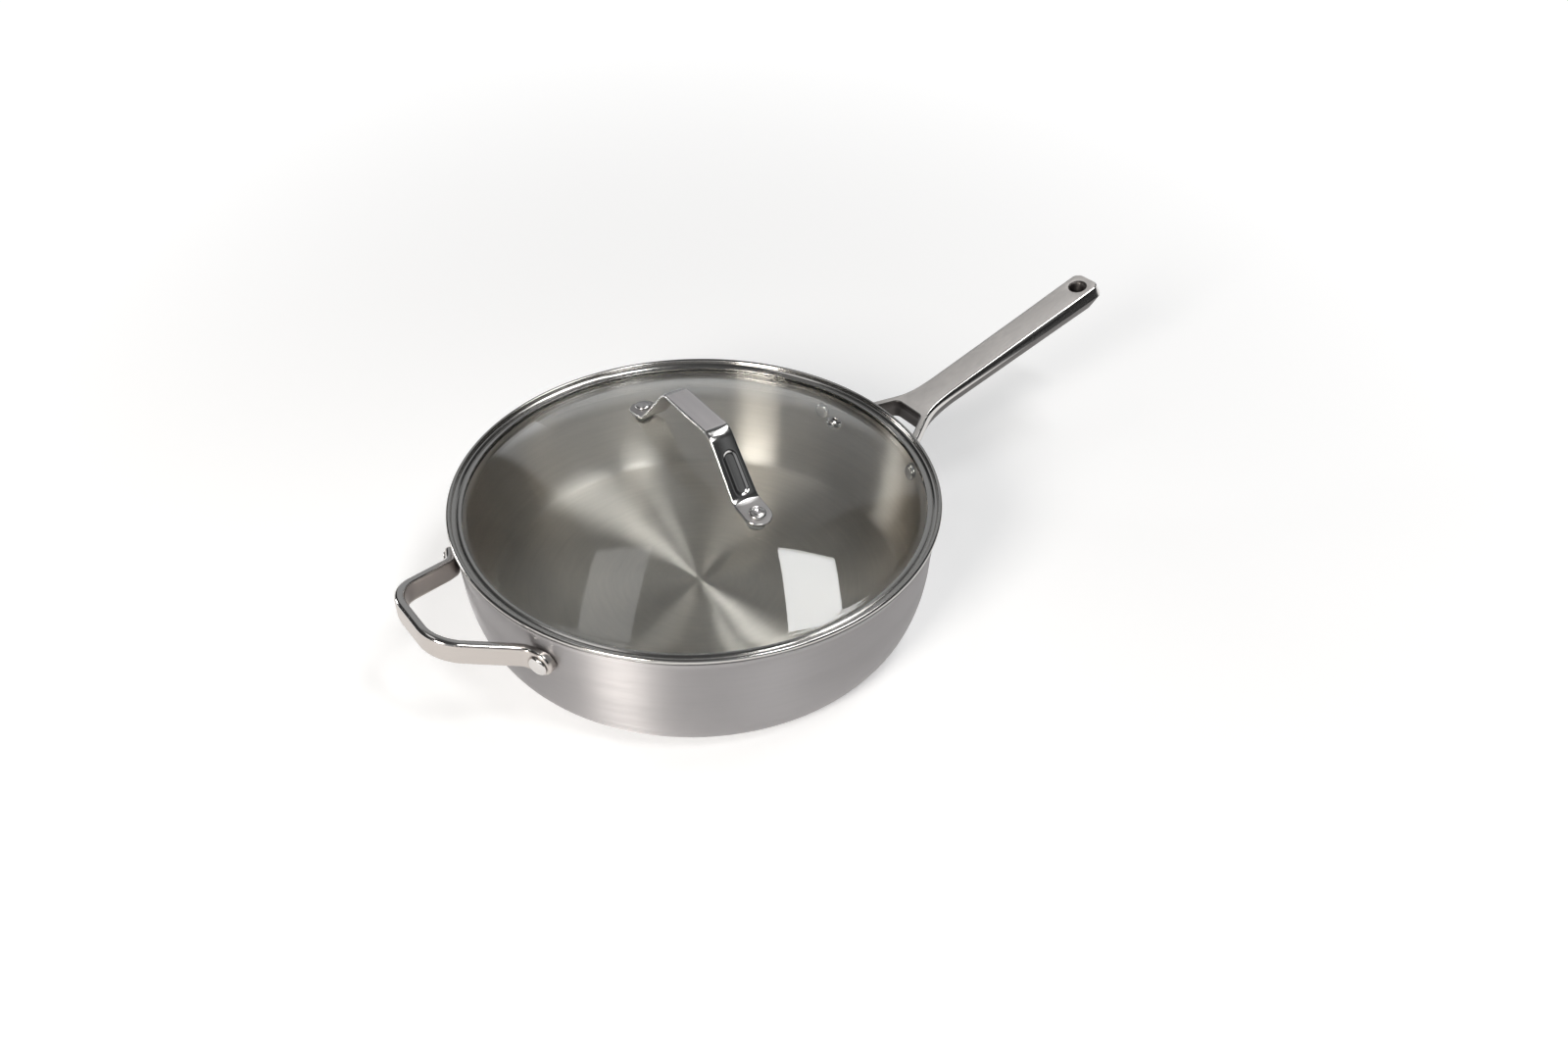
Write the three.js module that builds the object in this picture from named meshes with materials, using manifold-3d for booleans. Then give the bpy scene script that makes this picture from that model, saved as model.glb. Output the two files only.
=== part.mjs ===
// Deep frying pan with a domed glass lid
// Millimetres, +Z up, origin at the centre of the flat base, long handle along +X

import * as THREE from 'three';
import { mergeVertices } from 'three/addons/utils/BufferGeometryUtils.js';
import Module from 'manifold-3d';

const wasm = await Module();
wasm.setup();

// Pan body, measured on its outside
const BASE_FLAT_RADIUS = 123.3;
const CORNER_REACH = 16.5;
const CORNER_HEIGHT = 44.5;
const UPRIGHT_HEIGHT = 23.5;
const UPRIGHT_FLARE = 1.8;
const LIP_HEIGHT = 4;
const LIP_FLARE = 1.8;
const OUTER_LAYER = 0.6;
const CORE_LAYER = 1.5;
const COOKING_LAYER = 0.5;
const BOND_GAP = 0.1;

// Rivets that hold the two pan handles
const RIVET_SHANK_RADIUS = 2.5;
const RIVET_HEAD_RADIUS = 6;
const RIVET_HEAD_HEIGHT = 2.2;
const RIVET_INNER_HEAD_RADIUS = 5;
const RIVET_INNER_HEAD_HEIGHT = 2;

// Long handle, reaches measured from the wall at the rivets
const HANDLE_RIVET_DROP = 19.5;
const HANDLE_RIVET_SPREAD = 88.4;
const HANDLE_REACH = 189.6;
const HANDLE_WIDTH = 19.6;
const HANDLE_END_RADIUS = 4.5;
const HANDLE_ANGLE = 15;
const HANDLE_END_DEPTH = 16.5;
const HANDLE_END_FLARE = 3.4;
const HANDLE_END_SIDE_DROP = 6;
const HANDLE_END_LOWER_BEVEL = 4.5;
const HANDLE_EDGE = 1.2;
const FORK_REACH = 59.5;
const CROTCH_REACH = 28;
const CROTCH_WIDTH = 22.4;
const CROTCH_RADIUS = 5;
const FORK_GAP_AT_WALL = 57.6;
const LEG_THICKNESS = 4.2;
const LEG_HEIGHT = 12.5;
const LEG_RISE_START = 6;
const LEG_BEND = 9;
const LEG_FLARE = 14;
const FOOT_RUN = 8;
const HANDLE_FOOT_RADIUS = 8;
const HANGING_HOLE_RADIUS = 4.75;
const HANGING_HOLE_FROM_END = 10.4;

// Helper handle, reach measured from the wall at the rivets
const HELPER_RIVET_DROP = 19.5;
const HELPER_RIVET_SPREAD = 100;
const HELPER_REACH = 42;
const HELPER_ROOT_WIDTH = 88.4;
const HELPER_END_WIDTH = 45.4;
const HELPER_ROOT_OFFSET = 6.7;
const HELPER_THICKNESS = 5.5;
const HELPER_HEIGHT = 14;
const HELPER_SLOPE = 0.3;
const HELPER_CORNER_RADIUS = 15;
const HELPER_ROOT_RADIUS = 12;
const HELPER_EDGE = 1.2;
const HELPER_FOOT_RADIUS = 8;

// Lid glass and band
const LID_TURN = -2.6;
const LID_OVERHANG = 0.4;
const LID_CLEARANCE = 0.9;
const BAND_SHEET = 0.6;
const BAND_BEAD_RADIUS = 1.4;
const BAND_GRIP = 1.6;
const BAND_SHOULDER = 2.2;
const BAND_BEAD_START = 120;
const GLASS_THICKNESS = 4;
const GLASS_DROP = 1;
const GLASS_BRIM = 3.9;
const DOME_RISE = 28.8;

// Lid handle strap and its fastenings
const STRAP_FOOT_SPREAD = 122;
const STRAP_OFFSET = 2.2;
const STRAP_WIDTH = 16.6;
const STRAP_TOP_WIDTH = 15;
const STRAP_THICKNESS = 2.4;
const STRAP_HEIGHT = 31.1;
const STRAP_TOP_LENGTH = 48.2;
const STRAP_KNEE = 11.5;
const STRAP_TOP_BEND = 7;
const STRAP_KNEE_BEND = 8;
const LID_RIVET_SHANK_RADIUS = 2.2;
const LID_RIVET_HEAD_RADIUS = 5;
const LID_RIVET_HEAD_HEIGHT = 1.6;
const LID_RIVET_DIMPLE_RADIUS = 2.4;
const LID_RIVET_DIMPLE_DEPTH = 0.8;
const LID_RIVET_INNER_RADIUS = 3.8;
const OUTER_GASKET_RADIUS = 7.5;
const INNER_GASKET_RADIUS = 5.6;
const GASKET_THICKNESS = 1;
const WASHER_RADIUS = 5;
const WASHER_THICKNESS = 0.6;

// Steam vent
const VENT_FROM_DOME_EDGE = 32.6;
const VENT_BORE_RADIUS = 2;
const VENT_WALL = 0.8;
const VENT_FLANGE_RADIUS = 4.8;
const VENT_FLANGE_HEIGHT = 1;
const VENT_FOOT_HEIGHT = 0.8;

// Clearances and fineness
const GAP = 0.3;
const CURVED_SEAT_GAP = 0.45;
const HOLE_CLEARANCE = 0.3;
const CUT_PAST = 4;
const SEAT_SINK = 2;
const ROUND_STEPS = 48;
const SMALL_STEPS = 14;
const CORNER_STEPS = 5;
const BEND_STEPS = 5;
const DOME_STEPS = 6;
const HEAD_STEPS = 3;
const WELD = 1e-4;

const STEEL_SATIN = { color: 0xb8b2af, roughness: 0.34, metalness: 1 };
const STEEL_INSIDE = { color: 0xa8a49c, roughness: 0.38, metalness: 1 };
const STEEL_BRIGHT = { color: 0xc9c8c6, roughness: 0.14, metalness: 1 };
const ALUMINIUM = { color: 0xb3b4b6, roughness: 0.5, metalness: 1 };
const GLASS = { color: 0xdfe5e3, roughness: 0.04, metalness: 0, transparent: true, opacity: 0.3 };
const SILICONE = { color: 0x9a9a98, roughness: 0.6, metalness: 0 };

const WALL_THICKNESS = OUTER_LAYER + CORE_LAYER + COOKING_LAYER + 2 * BOND_GAP;
const PAN_HEIGHT = CORNER_HEIGHT + UPRIGHT_HEIGHT + LIP_HEIGHT;
const WALL_FOOT_RADIUS = BASE_FLAT_RADIUS + CORNER_REACH;
const WALL_TOP_RADIUS = WALL_FOOT_RADIUS + UPRIGHT_FLARE;
const LIP_RADIUS = WALL_TOP_RADIUS + LIP_FLARE;
const SEAT_HEIGHT = PAN_HEIGHT + GAP;

// Mesh helpers

function signedVolume(geometry) {
  const place = geometry.attributes.position;
  const index = geometry.index;
  const [a, b, c] = [new THREE.Vector3(), new THREE.Vector3(), new THREE.Vector3()];
  let volume = 0;
  for (let i = 0; i < index.count; i += 3) {
    a.fromBufferAttribute(place, index.getX(i));
    b.fromBufferAttribute(place, index.getX(i + 1));
    c.fromBufferAttribute(place, index.getX(i + 2));
    volume += a.dot(b.cross(c)) / 6;
  }
  return volume;
}

// Joins shared points, drops triangles that shrank to a line and turns the faces outwards
function closedMesh(geometry) {
  const loose = geometry.index ? geometry.toNonIndexed() : geometry.clone();
  loose.deleteAttribute('normal');
  loose.deleteAttribute('uv');
  const merged = mergeVertices(loose, WELD);
  const corners = merged.index.array;
  const kept = [];
  for (let i = 0; i < corners.length; i += 3) {
    const [a, b, c] = corners.subarray(i, i + 3);
    if (a !== b && b !== c && c !== a) kept.push(a, b, c);
  }
  merged.setIndex(kept);
  if (signedVolume(merged) < 0) merged.setIndex(kept.reverse());
  return merged;
}

function solidOf(geometry) {
  const closed = closedMesh(geometry);
  return new wasm.Manifold(new wasm.Mesh({
    numProp: 3,
    vertProperties: new Float32Array(closed.attributes.position.array),
    triVerts: new Uint32Array(closed.index.array),
  }));
}

function geometryOf(solid) {
  const mesh = solid.getMesh();
  const geometry = new THREE.BufferGeometry();
  geometry.setAttribute('position', new THREE.BufferAttribute(new Float32Array(mesh.vertProperties), 3));
  geometry.setIndex(Array.from(mesh.triVerts));
  return geometry;
}

function piece(name, geometry, finish) {
  const mesh = new THREE.Mesh(geometry, new THREE.MeshStandardMaterial(finish));
  mesh.name = name;
  geometry.computeVertexNormals();
  return mesh;
}

// Turns a profile of radius and height about the Z axis
function turned(profile, steps = ROUND_STEPS) {
  const points = profile.map(([radius, height]) => new THREE.Vector2(radius, height));
  return closedMesh(new THREE.LatheGeometry(points, steps).rotateX(Math.PI / 2));
}

function cylinderAlongZ(radius, low, high) {
  const body = new THREE.CylinderGeometry(radius, radius, high - low, SMALL_STEPS);
  return body.rotateX(Math.PI / 2).translate(0, 0, (low + high) / 2);
}

// Outline helpers

function arcPoints(cx, cy, radius, from, to, steps) {
  const points = [];
  for (let i = 0; i <= steps; i += 1) {
    const angle = from + ((to - from) * i) / steps;
    points.push(new THREE.Vector2(cx + radius * Math.cos(angle), cy + radius * Math.sin(angle)));
  }
  return points;
}

// A path of straight runs whose corners are rounded to the given radii
function roundedPath(corners, radii) {
  const points = [corners[0]];
  for (let i = 1; i < corners.length - 1; i += 1) {
    const back = corners[i - 1].clone().sub(corners[i]).normalize();
    const ahead = corners[i + 1].clone().sub(corners[i]).normalize();
    const half = Math.acos(back.dot(ahead)) / 2;
    const start = corners[i].clone().addScaledVector(back, radii[i] / Math.tan(half));
    const middle = back.clone().add(ahead).normalize();
    const centre = corners[i].clone().addScaledVector(middle, radii[i] / Math.sin(half));
    const turn = Math.sign(ahead.cross(back)) * (Math.PI - 2 * half);
    const first = Math.atan2(start.y - centre.y, start.x - centre.x);
    points.push(...arcPoints(centre.x, centre.y, radii[i], first, first + turn, BEND_STEPS));
  }
  points.push(corners[corners.length - 1]);
  return points;
}

// A strip of even thickness that follows a path, as a closed outline
function stripOutline(path, thickness) {
  const left = [];
  const right = [];
  path.forEach((point, i) => {
    const before = path[Math.max(i - 1, 0)];
    const after = path[Math.min(i + 1, path.length - 1)];
    const along = after.clone().sub(before).normalize();
    const across = new THREE.Vector2(-along.y, along.x).multiplyScalar(thickness / 2);
    left.push(point.clone().add(across));
    right.push(point.clone().sub(across));
  });
  return new THREE.Shape([...left, ...right.reverse()]);
}

// Extrudes an outline upwards from zero to one height with its edges broken
function extruded(outline, height, edge) {
  return new THREE.ExtrudeGeometry(outline, {
    depth: height - 2 * edge,
    bevelEnabled: true,
    bevelThickness: edge,
    bevelSize: edge,
    bevelOffset: -edge,
    bevelSegments: 1,
    steps: 1,
  }).translate(0, 0, edge);
}

// Pan body

// Outside of the pan from the axis up to the lip
function wallLine() {
  const line = [new THREE.Vector2(0, 0)];
  for (let i = 0; i <= CORNER_STEPS; i += 1) {
    const angle = (Math.PI / 2) * (i / CORNER_STEPS);
    const radius = BASE_FLAT_RADIUS + CORNER_REACH * Math.sin(angle);
    line.push(new THREE.Vector2(radius, CORNER_HEIGHT * (1 - Math.cos(angle))));
  }
  line.push(new THREE.Vector2(WALL_TOP_RADIUS, PAN_HEIGHT - LIP_HEIGHT));
  line.push(new THREE.Vector2(LIP_RADIUS, PAN_HEIGHT));
  return line;
}

// The same line moved inwards by a depth, still ending level with the rim
function wallLineAt(depth) {
  const line = wallLine();
  return line.map((point, i) => {
    if (i === 0) return [0, depth];
    const last = i === line.length - 1;
    const before = point.clone().sub(line[i - 1]).normalize();
    const after = last ? before.clone() : line[i + 1].clone().sub(point).normalize();
    const along = before.clone().add(after).normalize();
    const miter = depth / along.dot(before);
    const level = last ? PAN_HEIGHT : point.y + along.x * miter;
    return [point.x - along.y * miter, level];
  });
}

// Radius of the wall at a height, and how far it leans out from upright there
function wallAt(height, depth = 0) {
  const line = wallLineAt(depth);
  const top = line.findIndex(([, level], i) => i > 1 && level >= height);
  const [lowRadius, low] = line[top - 1];
  const [highRadius, high] = line[top];
  const slope = (highRadius - lowRadius) / (high - low);
  return { radius: lowRadius + slope * (height - low), lean: Math.atan(slope) };
}

function layerProfile(from, to) {
  return [...wallLineAt(from), ...wallLineAt(to).reverse()];
}

// Everything inside the outer wall and a gap, which handle feet are cut back to
function wallEnvelope() {
  return solidOf(turned([...wallLineAt(-GAP), [0, PAN_HEIGHT]]));
}

// A place on the outer wall, its own Z axis pointing straight out of the wall
function wallPlace(angle, height) {
  const wall = wallAt(height);
  const place = new THREE.Object3D();
  place.position.set(wall.radius * Math.cos(angle), wall.radius * Math.sin(angle), height);
  const out = new THREE.Vector3(Math.cos(angle), Math.sin(angle), -Math.tan(wall.lean));
  place.quaternion.setFromUnitVectors(new THREE.Vector3(0, 0, 1), out.normalize());
  place.updateMatrix();
  return place.matrix;
}

const HANDLE_RIVET_HEIGHT = PAN_HEIGHT - HANDLE_RIVET_DROP;
const HELPER_RIVET_HEIGHT = PAN_HEIGHT - HELPER_RIVET_DROP;
const HANDLE_WALL = wallAt(HANDLE_RIVET_HEIGHT).radius;
const HELPER_WALL = wallAt(HELPER_RIVET_HEIGHT).radius;
const HANDLE_RIVET_ANGLE = Math.asin(HANDLE_RIVET_SPREAD / 2 / HANDLE_WALL);
const HELPER_RIVET_ANGLE = Math.asin(HELPER_RIVET_SPREAD / 2 / HELPER_WALL);

// Each rivet: its name, angle round the pan, height and the thickness of the foot it holds
const HANDLE_RIVETS = [
  ['long_handle_rivet_left', HANDLE_RIVET_ANGLE, HANDLE_RIVET_HEIGHT, LEG_THICKNESS],
  ['long_handle_rivet_right', -HANDLE_RIVET_ANGLE, HANDLE_RIVET_HEIGHT, LEG_THICKNESS],
];
const HELPER_RIVETS = [
  ['helper_handle_rivet_left', Math.PI - HELPER_RIVET_ANGLE, HELPER_RIVET_HEIGHT, HELPER_THICKNESS],
  ['helper_handle_rivet_right', Math.PI + HELPER_RIVET_ANGLE, HELPER_RIVET_HEIGHT, HELPER_THICKNESS],
];
const RIVETS = [...HANDLE_RIVETS, ...HELPER_RIVETS];

function rivetHole(angle, height, footThickness) {
  const radius = RIVET_SHANK_RADIUS + HOLE_CLEARANCE;
  const depth = WALL_THICKNESS + CUT_PAST;
  const hole = cylinderAlongZ(radius, -depth, footThickness + CUT_PAST);
  return solidOf(hole.applyMatrix4(wallPlace(angle, height)));
}

// Flat face cut into a handle foot for the rivet head
function rivetSeat(angle, height, footThickness) {
  const radius = RIVET_HEAD_RADIUS + HOLE_CLEARANCE;
  const seat = cylinderAlongZ(radius, footThickness + GAP, footThickness + CUT_PAST);
  return solidOf(seat.applyMatrix4(wallPlace(angle, height)));
}

function withRivetHoles(solid, rivets) {
  return rivets.reduce((body, [, ...place]) => body.subtract(rivetHole(...place)), solid);
}

// Adds round feet to a handle, cuts it back from the wall and makes room for its rivets
function riveted(blank, rivets, footRadius, envelope) {
  let body = blank;
  for (const [, ...place] of rivets) body = body.add(footDisc(footRadius, ...place));
  body = body.subtract(envelope);
  for (const [, ...place] of rivets) body = body.subtract(rivetSeat(...place));
  return withRivetHoles(body, rivets);
}

function panLayer(name, from, to, finish) {
  const shell = solidOf(turned(layerProfile(from, to)));
  return piece(name, geometryOf(withRivetHoles(shell, RIVETS)), finish);
}

function panBody() {
  const coreFrom = OUTER_LAYER + BOND_GAP;
  const cookingFrom = coreFrom + CORE_LAYER + BOND_GAP;
  return [
    panLayer('pan_outer_layer', 0, OUTER_LAYER, STEEL_SATIN),
    panLayer('pan_aluminium_core', coreFrom, coreFrom + CORE_LAYER, ALUMINIUM),
    panLayer('pan_cooking_layer', cookingFrom, cookingFrom + COOKING_LAYER, STEEL_INSIDE),
  ];
}

// Quarter-round head from its edge to its crown
function headPoints(radius, base, height) {
  const points = [];
  for (let i = 0; i < HEAD_STEPS; i += 1) {
    const angle = (Math.PI / 2) * (i / HEAD_STEPS);
    points.push([radius * Math.cos(angle), base + height * Math.sin(angle)]);
  }
  points.push([0, base + height]);
  return points;
}

function handleRivet(name, angle, height, footThickness) {
  const outer = footThickness + 2 * GAP;
  const inner = -(WALL_THICKNESS + CURVED_SEAT_GAP);
  const profile = [
    ...headPoints(RIVET_INNER_HEAD_RADIUS, inner, -RIVET_INNER_HEAD_HEIGHT).reverse(),
    [RIVET_SHANK_RADIUS, inner],
    [RIVET_SHANK_RADIUS, outer],
    ...headPoints(RIVET_HEAD_RADIUS, outer, RIVET_HEAD_HEIGHT),
  ];
  return piece(name, turned(profile, SMALL_STEPS).applyMatrix4(wallPlace(angle, height)), STEEL_BRIGHT);
}

function footDisc(radius, angle, height, thickness) {
  const disc = cylinderAlongZ(radius, -SEAT_SINK, thickness + GAP);
  return solidOf(disc.applyMatrix4(wallPlace(angle, height)));
}

// Long handle

// Half of the handle seen from above, from the middle of its end round to the crotch
function longHandleHalf() {
  const end = HANDLE_WALL + HANDLE_REACH;
  const half = HANDLE_WIDTH / 2;
  const neck = HANDLE_WALL + FORK_REACH;
  const crotch = new THREE.Vector2(HANDLE_WALL + CROTCH_REACH, CROTCH_WIDTH / 2);
  const sunk = HANDLE_WALL - SEAT_SINK;
  const gapAngle = Math.asin(FORK_GAP_AT_WALL / 2 / sunk);
  const gapEnd = new THREE.Vector2(sunk * Math.cos(gapAngle), sunk * Math.sin(gapAngle));
  const along = gapEnd.clone().sub(crotch).normalize();
  const outwards = new THREE.Vector2(along.y, -along.x).multiplyScalar(LEG_THICKNESS);
  const legStart = crotch.clone().add(outwards).addScaledVector(along, LEG_BEND);
  const footOuter = HANDLE_WALL + GAP + LEG_THICKNESS;
  const footStart = HANDLE_RIVET_ANGLE - FOOT_RUN / footOuter;
  const foot = arcPoints(0, 0, footOuter, footStart, HANDLE_RIVET_ANGLE, BEND_STEPS);
  const footAlong = new THREE.Vector2(-Math.sin(footStart), Math.cos(footStart));
  const legEnd = legStart.clone().addScaledVector(along, legStart.distanceTo(foot[0]) / 2);
  const flare = new THREE.CubicBezierCurve(
    new THREE.Vector2(neck, half),
    new THREE.Vector2(neck - LEG_FLARE - LEG_BEND, half),
    legStart.clone().addScaledVector(along, -LEG_FLARE),
    legStart,
  );
  const bend = new THREE.CubicBezierCurve(
    legEnd,
    legEnd.clone().addScaledVector(along, LEG_THICKNESS),
    foot[0].clone().addScaledVector(footAlong, -LEG_THICKNESS),
    foot[0],
  );
  const corner = end - HANDLE_END_RADIUS;
  const gapCorners = [gapEnd, crotch, new THREE.Vector2(crotch.x, 0)];
  return [
    ...arcPoints(corner, half - HANDLE_END_RADIUS, HANDLE_END_RADIUS, 0, Math.PI / 2, BEND_STEPS),
    ...flare.getPoints(2 * BEND_STEPS),
    ...bend.getPoints(BEND_STEPS),
    ...foot.slice(1),
    ...arcPoints(0, 0, sunk, HANDLE_RIVET_ANGLE, gapAngle, BEND_STEPS).slice(0, -1),
    ...roundedPath(gapCorners, [0, CROTCH_RADIUS, 0]).slice(0, -1),
  ];
}

function mirrored(half) {
  const other = half.map((point) => new THREE.Vector2(point.x, -point.y)).reverse();
  return new THREE.Shape([...half, ...other]);
}

// Lifts the flat blank to its sloping top face, deepens it and flares it towards its end
function raiseLongHandle(geometry) {
  const rise = Math.tan(THREE.MathUtils.degToRad(HANDLE_ANGLE));
  const start = HANDLE_WALL + LEG_RISE_START;
  const neck = HANDLE_WALL + FORK_REACH;
  const end = HANDLE_WALL + HANDLE_REACH;
  const flare = (2 * HANDLE_END_FLARE) / HANDLE_WIDTH;
  const { clamp, lerp } = THREE.MathUtils;
  const place = geometry.attributes.position;
  for (let i = 0; i < place.count; i += 1) {
    const x = place.getX(i);
    const below = LEG_HEIGHT - place.getZ(i);
    const share = clamp((x - neck) / (end - neck), 0, 1);
    const depth = lerp(LEG_HEIGHT, HANDLE_END_DEPTH, share);
    const onSide = below > HANDLE_EDGE / 2 && below < LEG_HEIGHT - HANDLE_EDGE / 2;
    const upper = lerp(HANDLE_EDGE, HANDLE_END_SIDE_DROP, share);
    const lower = depth - lerp(HANDLE_EDGE, HANDLE_END_LOWER_BEVEL, share);
    const side = below < LEG_HEIGHT / 2 ? upper : lower;
    const cap = below < LEG_HEIGHT / 2 ? 0 : depth;
    const top = HANDLE_RIVET_HEIGHT + LEG_HEIGHT / 2 + rise * Math.max(0, x - start);
    place.setZ(i, top - (onSide ? side : cap));
    if (onSide) {
      const outer = clamp((x - end + HANDLE_END_RADIUS) / HANDLE_END_RADIUS, 0, 1);
      place.setX(i, x + HANDLE_END_FLARE * outer);
      place.setY(i, place.getY(i) * (1 + flare * share));
    }
  }
  return geometry;
}

function longHandle(envelope) {
  const blank = closedMesh(extruded(mirrored(longHandleHalf()), LEG_HEIGHT, HANDLE_EDGE));
  const holeX = HANDLE_WALL + HANDLE_REACH - HANGING_HOLE_FROM_END;
  const tallest = PAN_HEIGHT + HANDLE_REACH;
  const hole = solidOf(cylinderAlongZ(HANGING_HOLE_RADIUS, 0, tallest).translate(holeX, 0, 0));
  const grip = solidOf(raiseLongHandle(blank)).subtract(hole);
  const body = riveted(grip, HANDLE_RIVETS, HANDLE_FOOT_RADIUS, envelope);
  return piece('long_handle', geometryOf(body), STEEL_SATIN);
}

// Helper handle

function helperHandle(envelope) {
  const middle = HELPER_WALL + GAP + HELPER_THICKNESS / 2;
  const rivetY = middle * Math.sin(HELPER_RIVET_ANGLE);
  const rivetX = -middle * Math.cos(HELPER_RIVET_ANGLE);
  const rootX = HELPER_ROOT_OFFSET - middle;
  const endX = -(HELPER_WALL + HELPER_REACH - HELPER_THICKNESS / 2);
  const corners = [
    new THREE.Vector2(rivetX, rivetY),
    new THREE.Vector2(rootX, HELPER_ROOT_WIDTH / 2),
    new THREE.Vector2(endX, HELPER_END_WIDTH / 2),
    new THREE.Vector2(endX, -HELPER_END_WIDTH / 2),
    new THREE.Vector2(rootX, -HELPER_ROOT_WIDTH / 2),
    new THREE.Vector2(rivetX, -rivetY),
  ];
  const radii = [0, HELPER_ROOT_RADIUS, HELPER_CORNER_RADIUS, HELPER_CORNER_RADIUS, HELPER_ROOT_RADIUS, 0];
  const outline = stripOutline(roundedPath(corners, radii), HELPER_THICKNESS);
  const bar = extruded(outline, HELPER_HEIGHT, HELPER_EDGE);
  bar.translate(-rivetX, 0, HELPER_RIVET_HEIGHT - HELPER_HEIGHT / 2);
  bar.applyMatrix4(new THREE.Matrix4().makeShear(0, -HELPER_SLOPE, 0, 0, 0, 0));
  bar.translate(rivetX, 0, 0);
  const body = riveted(solidOf(bar), HELPER_RIVETS, HELPER_FOOT_RADIUS, envelope);
  return piece('helper_handle', geometryOf(body), STEEL_SATIN);
}

// Lid glass and band

const CHANNEL_FLOOR = SEAT_HEIGHT - GLASS_DROP - GLASS_THICKNESS - GAP - BAND_SHEET;
const CHANNEL_RADIUS = wallAt(CHANNEL_FLOOR, WALL_THICKNESS).radius - LID_CLEARANCE;
const GLASS_RADIUS = CHANNEL_RADIUS - BAND_SHEET - GAP;
const GLASS_EDGE_TOP = SEAT_HEIGHT - GLASS_DROP;
const DOME_EDGE_RADIUS = GLASS_RADIUS - GLASS_BRIM;
const DOME_RADIUS = (DOME_EDGE_RADIUS ** 2 + DOME_RISE ** 2) / (2 * DOME_RISE);
const DOME_CENTRE = GLASS_EDGE_TOP + DOME_RISE - DOME_RADIUS;

function domeLine(radius, level) {
  const last = Math.acos((level - DOME_CENTRE) / radius);
  const points = [];
  for (let i = 0; i <= DOME_STEPS; i += 1) {
    const angle = (last * i) / DOME_STEPS;
    points.push([radius * Math.sin(angle), DOME_CENTRE + radius * Math.cos(angle)]);
  }
  return points;
}

// A place on the dome at a distance from its axis, its own Z axis pointing out of the glass
function domePlace(distance, heading) {
  const tilt = Math.asin(distance / DOME_RADIUS);
  const place = new THREE.Object3D();
  place.rotation.set(0, tilt, heading, 'ZYX');
  const height = DOME_CENTRE + DOME_RADIUS * Math.cos(tilt);
  place.position.set(distance * Math.cos(heading), distance * Math.sin(heading), height);
  place.updateMatrix();
  return place.matrix;
}

const NEAR_FOOT = STRAP_FOOT_SPREAD / 2 + STRAP_OFFSET;
const FAR_FOOT = STRAP_FOOT_SPREAD / 2 - STRAP_OFFSET;
const STRAP_FEET = [
  ['near', domePlace(NEAR_FOOT, -Math.PI / 2)],
  ['far', domePlace(FAR_FOOT, Math.PI / 2)],
];
const VENT_PLACE = domePlace(DOME_EDGE_RADIUS - VENT_FROM_DOME_EDGE, 0);

function glassHole(radius, place) {
  const depth = GLASS_THICKNESS + CUT_PAST;
  return solidOf(cylinderAlongZ(radius + HOLE_CLEARANCE, -depth, CUT_PAST).applyMatrix4(place));
}

function lidGlass() {
  const profile = [
    ...domeLine(DOME_RADIUS, GLASS_EDGE_TOP),
    [GLASS_RADIUS, GLASS_EDGE_TOP],
    [GLASS_RADIUS, GLASS_EDGE_TOP - GLASS_THICKNESS],
    ...domeLine(DOME_RADIUS - GLASS_THICKNESS, GLASS_EDGE_TOP - GLASS_THICKNESS).reverse(),
  ];
  let glass = solidOf(turned(profile));
  for (const [, place] of STRAP_FEET) glass = glass.subtract(glassHole(LID_RIVET_SHANK_RADIUS, place));
  glass = glass.subtract(glassHole(VENT_BORE_RADIUS + VENT_WALL, VENT_PLACE));
  return piece('lid_glass', geometryOf(glass), GLASS);
}

// Section of the band: flange over the glass, cone up to a rolled bead, channel round the glass edge
function lidBand() {
  const outer = LIP_RADIUS + LID_OVERHANG;
  const beadRadius = outer - BAND_BEAD_RADIUS;
  const beadHeight = SEAT_HEIGHT + BAND_BEAD_RADIUS;
  const over = GLASS_EDGE_TOP + GAP;
  const under = GLASS_EDGE_TOP - GLASS_THICKNESS - GAP;
  const lip = GLASS_RADIUS - BAND_GRIP;
  const wall = CHANNEL_RADIUS - BAND_SHEET;
  const beadStart = THREE.MathUtils.degToRad(BAND_BEAD_START);
  const bead = arcPoints(beadRadius, beadHeight, BAND_BEAD_RADIUS, beadStart, -Math.PI / 2, BEND_STEPS);
  const profile = [
    [lip, over + BAND_SHEET],
    [CHANNEL_RADIUS, over + BAND_SHEET],
    ...bead.map((point) => [point.x, point.y]),
    [beadRadius - BAND_BEAD_RADIUS, SEAT_HEIGHT + BAND_SHEET],
    [CHANNEL_RADIUS, SEAT_HEIGHT + BAND_SHEET - BAND_SHOULDER],
    [CHANNEL_RADIUS, under - BAND_SHEET],
    [lip, under - BAND_SHEET],
    [lip, under],
    [wall, under],
    [wall, over],
    [lip, over],
    [lip, over + BAND_SHEET],
  ];
  return piece('lid_band', turned(profile), STEEL_BRIGHT);
}

// Lid handle

const STRAP_SEAT = GASKET_THICKNESS + 2 * GAP;

// Foot end, knee and top corner of the strap on one side of the lid's axis
function strapHalf(footDistance, topDistance) {
  const tilt = Math.asin(footDistance / DOME_RADIUS);
  const lift = DOME_RADIUS + STRAP_SEAT + STRAP_THICKNESS / 2;
  const along = new THREE.Vector2(Math.cos(tilt), -Math.sin(tilt));
  const foot = new THREE.Vector2(lift * Math.sin(tilt), DOME_CENTRE + lift * Math.cos(tilt));
  const top = DOME_CENTRE + DOME_RADIUS + STRAP_HEIGHT - STRAP_THICKNESS / 2;
  return [
    foot.clone().addScaledVector(along, STRAP_WIDTH),
    foot.clone().addScaledVector(along, -STRAP_KNEE),
    new THREE.Vector2(topDistance, top),
  ];
}

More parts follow.
